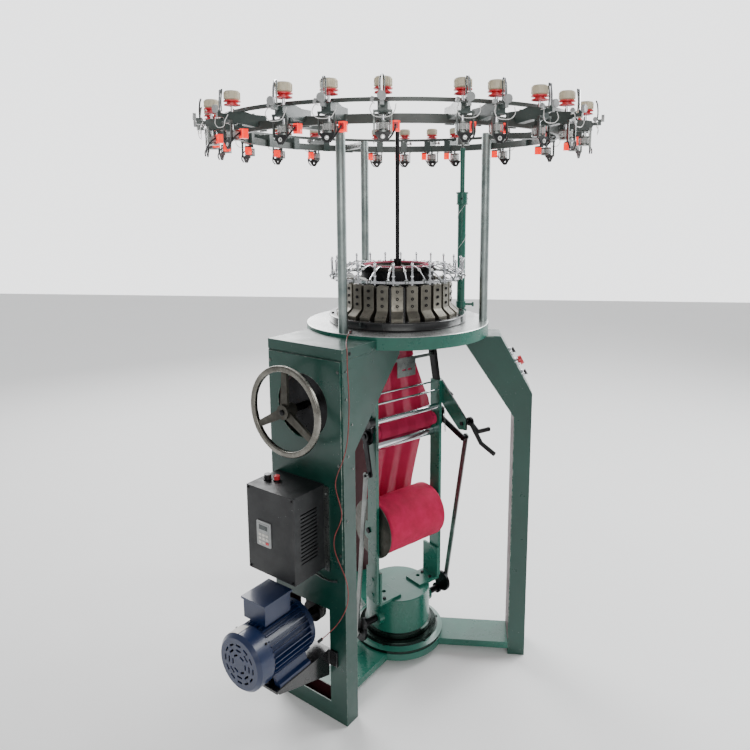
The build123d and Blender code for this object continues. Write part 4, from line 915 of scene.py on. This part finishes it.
b = MB()
for i in range(24):
    az = -88 + 15 * i
    b.rev(Matrix.Translation(W(az, 232, 0, 1463)), [(0, 0), (0.0042, 0), (0.0046, 0.001), (0.0046, 0.0055), (0.0036, 0.0075), (0, 0.0078)], 16, 0)
    b.rev(Matrix.Translation(W(az, 232, 0, 1427)), [(0.003, 0), (0.0050, 0), (0.0052, 0.0006), (0.0052, 0.0034), (0.003, 0.004)], 16, 0)
b.obj("post_caps", [CHROME], "frame")

b = MB()
b.tube([W(-196, 219, 0, 1416), W(-178, 224, 0, 1424), W(-160, 224, 0, 1428), W(-142, 219, 0, 1427), W(-128, 206, 0, 1421), W(-118, 190, 0, 1412)], 0.0036, 12, 0, 8)
b.tube([W(-150, 205, 0, 1412), W(-138, 212, 0, 1419), W(-124, 206, 0, 1417), W(-112, 196, 0, 1408)], 0.0026, 10, 0, 8)
b.obj("air_tubes", [PALE], "frame")

b = MB()
for i in range(24):
    az = -85.0 + i * 15
    M = FR(az, 191, 0, 0)
    # clamp plate at the foot with its two screws, and the cam adjusting slot at the top
    M2 = FR(az, 205, 0, 1297)
    b.box(FR(az, 207, 0, 1284.5), (0, 0, 0), (0.030, 0.008, 0.020), 0, 0.001)
    b.bolt(W(az, 210, -8, 1288.5), (0, 0, 1), 0.0032, 0.0032, 1)
    b.bolt(W(az, 210, 8, 1288.5), (0, 0, 1), 0.0032, 0.0032, 1)
    b.box(FR(az, 184, 0, 1391.5), (0, 0, 0), (0.026, 0.004, 0.011), 0, 0.0008)
    b.bolt(W(az, 184, 6, 1393.3), (0, 0, 1), 0.0026, 0.003, 1)
b.obj("cam_clamps", [PEWTER, DARKSTEEL], "frame")

# the ring of screws on the black cam plate
b = MB()
for i in range(12):
    az = -77 + 30 * i
    b.bolt(W(az, 230, 0, 1279), (0, 0, 1), 0.0046, 0.0034, 0)
b.obj("cam_ring_screws", [DARKSTEEL], "frame")

# ---------------------------------------------------------------- creel details
b = MB()
for az in FEEDERS:
    j = rnd.uniform(-2, 2)
    b.tube([W(az, 640, -20, 1906), W(az, 654, -25, 1904), W(az, 658, -30, 1888 + j), W(az, 656, -20, 1874), W(az, 656, 0, 1871), W(az, 656, 20, 1874), W(az, 658, 31, 1886 - j), W(az, 650, 34, 1903)], 0.0011, 7, 0, 5)
    # loop lever over the pulley
    b.tube([W(az, 654, -5.5, 1914), W(az, 655, -5.5, 1940), W(az, 652, -5, 1963), W(az, 648, 0, 1973), W(az, 652, 5, 1963), W(az, 655, 5.5, 1940), W(az, 654, 5.5, 1914)], 0.0021, 8, 1, 5)
    # dark arm from the lamp to the eyelet tip
    b.tube([W(az, 612, 30, 1858), W(az, 628, 30, 1846), W(az, 640, 22, 1828), W(az, 641, 10, 1815)], 0.0024, 8, 2, 5)
    # eyelet bush
    Me = FR(az, 637, 0, 1826)
    b.rev(Me, [(0.0030, -0.001), (0.0058, -0.001), (0.0060, 0), (0.0056, 0.0014), (0.0038, 0.0018), (0.0030, 0.001), (0.0030, -0.001)], 18, 3)
    # clamp screws of the body on the rails
    b.bolt(W(az, 552, 0, 1912), (0, 0, 1), 0.0046, 0.0045, 1)
    b.bolt(W(az, 571, 0, 1914), (0, 0, 1), 0.0036, 0.0035, 1)
    b.bolt(W(az, 640, -7, 1898), W(az, 1, 0, 0), 0.003, 0.0025, 1, hexa=False)
    # second knob and its stem, on the other side of the stalk
    b.cyl(W(az, 648, 0, 1908), W(az, 648, -22, 1914), 0.0022, 10, 1)
    b.cyl(W(az, 648, -21, 1914), W(az, 648, -29, 1916), 0.0068, 16, 4, 0.0012)
    # contact plate on the lamp
    b.box(FR(az, 613.2, 31, 1856), (0, 0, 0), (0.012, 0.016, 0.0012), 5, 0.0004)
b.obj("feeder_wires", [PALE, GALV, BLACKPL, PALE, PANEL, REDPL], "frame")

# yarn wound on the storage pins, a few turns on each wheel
b = MB()
for n_, az in enumerate(FEEDERS):
    c = W(az, 618, 0, 0)
    for k in range(6):
        z = 1845 + k * 2.6
        pts = [c + Vector((0.0188 * cos(2 * pi * q / 20), 0.0188 * sin(2 * pi * q / 20), (z + 2.4 * q / 20) / 1000)) for q in range(20)]
        b.tube(pts, 0.00055, 5, 0, 1, closed=False)
b.obj("stored_yarn", [PALE], "frame")

# spiral tape round the drive tube
b = MB()
for off in (0, 24, 46):
    pts = []
    for k in range(60):
        s_ = k / 59
        a = 2 * pi * 0.9 * s_ + off * 0.05 - 2.4
        pts.append(Vector((0.225 + 0.0158 * cos(a), 0.205 + 0.0158 * sin(a), (1490 + off + 120 * s_) / 1000)))
    b.tube(pts, 0.0006, 5, 0, 1)
b.obj("tube_tape", [PALE], "frame")
b = MB()
b.rev(Matrix.Translation((0.225, 0.205, 1.6925)), [(0.0095, 0), (0.0215, 0), (0.023, 0.0015), (0.023, 0.006), (0.0215, 0.0075), (0.0095, 0.0075)], 36, 0)
b.rev(Matrix.Translation((0.225, 0.205, 1.6530)), [(0.016, 0), (0.0205, 0), (0.0215, 0.0012), (0.0215, 0.0048), (0.0205, 0.006), (0.016, 0.006)], 36, 0)
for a in (0.4, 2.5, 4.6):
    b.bolt((0.225 + 0.020 * cos(a), 0.205 + 0.020 * sin(a), 1.6755), (cos(a), sin(a), 0), 0.003, 0.003, 1)
b.obj("tube_collar_rings", [GREEN2, DARKSTEEL], "frame")

# ---------------------------------------------------------------- drive leg details
LA = AZ_A
b = MB()
M = FR(LA, 605, -74, 664)
b.box(M, (0, 0.020, 0.0004), (0.046, 0.026, 0.0016), 0, 0.0006)
b.box(M, (0, 0.021, 0.0014), (0.036, 0.015, 0.001), 1, 0.0003)
for r_ in range(3):
    for c_ in range(3):
        mi = 3 if (r_, c_) == (2, 2) else 2
        b.box(M, (-0.015 + 0.015 * c_, -0.003 - 0.0125 * r_, 0.0008), (0.011, 0.008, 0.0022), mi, 0.0007)
b.obj("keypad_face", [PANEL, PANELDARK, LABEL, REDPL], "frame")

b = MB()
b.cyl(W(LA, 540, -117, 808), W(LA, 540, -117, 809.2), 0.0145, 28, 2)
for t_, z_ in ((-138, 800), (44, 800), (-138, 541), (44, 541)):
    b.bolt(W(LA, 602, t_, z_), W(LA, 1, 0, 0), 0.0034, 0.0028, 2, hexa=False)
for k in range(2):
    b.bolt(W(LA, 470.8, 61, 548 + 232 * k), W(LA, 1, 0, 0), 0.004, 0.003, 3)
b.obj("control_box_fittings", [BLACKPL, REDPL, DARKSTEEL, GALV], "frame")

b = MB()
# pale curved bar below the control box
b.tube([W(LA, 469.6, -14, 507), W(LA, 470.2, 14, 499), W(LA, 470.2, 44, 494), W(LA, 470.2, 74, 494), W(LA, 469.6, 100, 500)], 0.0034, 10, 0, 6)
b.obj("curved_bar", [GALV], "frame")

b = MB()
for t_, z_ in ((-168, 590), (112, 590), (-168, 880), (112, 880), (-168, 1170), (112, 1170)):
    b.bolt(W(LA, 466, t_ + 1, z_), W(LA, 1, 0, 0), 0.0042, 0.003, 0, hexa=False)
nT = W(LA, 0, 1, 0)
for r_, z_ in ((446, 1170), (446, 1085), (440, 905), (420, 860), (448, 700), (420, 1000)):
    b.bolt(W(LA, r_, 128, z_), nT, 0.0030, 0.0024, 0, hexa=False)
b.rev(Matrix.Translation(W(LA, 430, 129.9, 1222)) @ nT.to_track_quat("Z", "Y").to_matrix().to_4x4(), [(0, 0), (0.0055, 0), (0.0058, 0.0008), (0.004, 0.0012), (0, 0.0004)], 20, 1)
b.obj("leg_screws", [GALV, DARKSTEEL], "frame")

# seam of the cover's lower lip: the black strip is painted shadow standing in for the shade in the gap under the lip
b = MB()
# painted shadow: black strip in the gap under the cover's lower lip
b.box(FR(LA, 466.6, -26, 1203), (0, 0, 0), (0.297, 0.0016, 0.0012), 0, 0.0004)
b.tube([W(LA, 468, 128.4, 1166), W(LA, 440, 128.4, 1172), W(LA, 415, 128.4, 1176)], 0.0007, 5, 1, 2)
b.obj("leg_seams_with_painted_shadow", [BLACKPL, GREEN], "frame")

# hand wheel hub nut
b = MB()
MH = FR(LA, 0, -33, 1043)
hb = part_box("handwheel")
b.rev(FR(LA, 553, -33, 1043), [(0, 0), (0.0075, 0), (0.0085, 0.001), (0.0085, 0.002), (0.006, 0.003), (0, 0.0026)], 24, 0)
b.obj("hub_washer", [DARKSTEEL], "main_drive")

# ---------------------------------------------------------------- motor details
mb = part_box("motor_body")
b = MB()
Mm = FR(LA, 704, -26, 342)
# blank rating plate on the fan end shell, bent to the round body
pl = []
for k in range(7):
    a = radians(112 + 5.2 * (k - 3))
    pl.append((0.0885 * cos(a), 0.0885 * sin(a)))
vs, fs = [], []
for h in (0.008, 0.048):
    for x_, y_ in pl:
        vs.append((x_, y_, h))
for h in (0.008, 0.048):
    for x_, y_ in pl:
        vs.append((x_ * 1.008, y_ * 1.008, h))
n7 = 7
for k in range(6):
    fs.append([k, k + 1, n7 + k + 1, n7 + k])
    fs.append([2 * n7 + k, 3 * n7 + k, 3 * n7 + k + 1, 2 * n7 + k + 1])
    fs.append([k, 2 * n7 + k, 2 * n7 + k + 1, k + 1])
    fs.append([n7 + k, n7 + k + 1, 3 * n7 + k + 1, 3 * n7 + k])
fs.append([0, n7, 3 * n7, 2 * n7])
fs.append([6, 2 * n7 + 6, 3 * n7 + 6, n7 + 6])
b.put(vs, fs, 0, False, Mm)
for k in range(4):
    a = radians(45 + 90 * k)
    b.bolt(Mm @ Vector((0.0885 * cos(a), 0.0885 * sin(a), 0.008)), Mm.to_3x3() @ Vector((cos(a), sin(a), 0)), 0.0034, 0.003, 1)
b.obj("motor_plate_and_screws", [LABEL, DARKSTEEL], "frame")

# ---------------------------------------------------------------- button column details
b = MB()
b.box(FR(0, 476.4, -34, 128), (0, 0, 0), (0.018, 0.034, 0.0012), 0, 0.0004)
b.obj("small_plate", [LABEL], "frame")

# ---------------------------------------------------------------- take-down details
b = MB()
# boss with its green casting on the right arm
b.rev(FR(AZ_TD, 156, -40, 1000), [(0.004, 0), (0.016, 0), (0.0175, 0.002), (0.0175, 0.010), (0.012, 0.013), (0.012, 0.020), (0, 0.0205)], 28, 2)
b.rev(FR(AZ_TD, 156, -58, 975), [(0, 0), (0.008, 0), (0.009, 0.001), (0.009, 0.007), (0.008, 0.009), (0, 0.0095)], 24, 1)
for yy, zz in ((-45, 990), (-58, 900)):
    b.bolt(T(163.2, yy, zz), T(1, 0, 0), 0.005, 0.0045, 1)
b.obj("right_side_fittings", [BLACKPL, CHROME, GREEN2], "cylinder", bevel=0.0004)

b = MB()


def pawl(s, y0, z0, y1, z1, w, x0, x1, mi=0):
    """Rounded link plate between two centres on the take-down's side."""
    a = atan2(z1 - z0, y1 - y0)
    pts = []
    for k in range(9):
        t_ = a + pi / 2 + pi * k / 8
        pts.append(((y0 + w * cos(t_)) / 1000, (z0 + w * sin(t_)) / 1000))
    for k in range(9):
        t_ = a - pi / 2 + pi * k / 8
        pts.append(((y1 + w * 0.8 * cos(t_)) / 1000, (z1 + w * 0.8 * sin(t_)) / 1000))
    b.prism(FR(AZ_TD, 0), pts, min(x0, x1) / 1000, max(x0, x1) / 1000, mi)


for s in (-1, 1):
    pawl(s, -62, 902, -30, 930, 9, s * 157, s * 163.2)
    pawl(s, -62, 902, -66, 884, 6, s * 164.5, s * 171)
    b.rev(FR(AZ_TD, s * 163 if s > 0 else -172, -62, 902), [(0, 0), (0.006, 0), (0.0065, 0.0008), (0.0065, 0.0082), (0.006, 0.009), (0, 0.009)], 20, 1)
    # tension spring from the pawl down to the arm
    pts = []
    for k in range(150):
        s_ = k / 149
        a = 2 * pi * 14 * s_
        pts.append(T(s * 161, -76 + 5 * cos(a) - 8 * s_, 900 - 84 * s_ + 3 * sin(a) * 0.2))
    b.tube(pts, 0.0008, 5, 1, 1)
b.obj("pawls_and_springs", [DARKSTEEL, GALV], "cylinder", bevel=0.0004)

# bolts in the base ring's flange
b = MB()
for k in range(6):
    a = 60 * k + 15
    b.bolt(W(a, 150, 0, 66.4), (0, 0, 1), 0.0055, 0.005, 1)
b.obj("base_ring_bolts", [GALV, GREASE], "frame")


# ---------------------------------------------------------------- floor and light
fm, nt, fb = mat("pale_floor")
v = coords(nt)
nt.links.new(ramp(nt, noise_tex(nt, v, 0.7, 3), [(0.3, (0.93, 0.93, 0.925)), (0.7, (0.95, 0.95, 0.945))]), fb.inputs["Base Color"])
nt.links.new(ramp(nt, noise_tex(nt, v, 6, 3), [(0.3, (0.60,) * 3), (0.7, (0.72,) * 3)]), fb.inputs["Roughness"])
bm = bmesh.new()
bmesh.ops.create_grid(bm, x_segments=8, y_segments=8, size=9)
me = bpy.data.meshes.new("floor")
bm.to_mesh(me)
bm.free()
me.materials.append(fm)
floor = bpy.data.objects.new("floor", me)
floor.location = (0, 0, -0.0008)
bpy.context.collection.objects.link(floor)

w = bpy.data.worlds.new("studio")
w.use_nodes = True
bg = w.node_tree.nodes["Background"]
# a bright wall behind the machine, a dimmer room in front of it
wt = w.node_tree
wc = wt.nodes.new("ShaderNodeTexCoord")
wx = wt.nodes.new("ShaderNodeSeparateXYZ")
wr = wt.nodes.new("ShaderNodeMapRange")
wr.interpolation_type = "SMOOTHSTEP"
wr.inputs["From Min"].default_value = 0.15
wr.inputs["From Max"].default_value = 0.85
wr.inputs["To Min"].default_value = 0.42
wr.inputs["To Max"].default_value = 2.6
wt.links.new(wc.outputs["Generated"], wx.inputs[0])
wt.links.new(wx.outputs["Y"], wr.inputs["Value"])
wt.links.new(wr.outputs["Result"], bg.inputs["Strength"])
bg.inputs["Color"].default_value = (0.985, 0.99, 1.0, 1)
bpy.context.scene.world = w


def area(name, loc, target, size, power, col=(1, 1, 1)):
    l = bpy.data.lights.new(name, "AREA")
    l.shape = "RECTANGLE"
    l.size, l.size_y = size
    l.energy = power
    l.color = col
    o = bpy.data.objects.new(name, l)
    o.location = loc
    o.rotation_euler = (Vector(target) - Vector(loc)).to_track_quat("-Z", "Y").to_euler()
    bpy.context.collection.objects.link(o)
    return o


area("key_window", (3.2, 1.6, 3.4), (0, 0, 1.0), (2.6, 2.6), 190, (0.97, 0.99, 1.0))
area("back_fill", (-2.2, 3.0, 3.0), (0, 0, 1.2), (2.6, 2.0), 120)
area("front_soft", (0.8, -4.2, 2.6), (0, 0, 1.0), (3.0, 2.0), 60, (1.0, 0.99, 0.97))
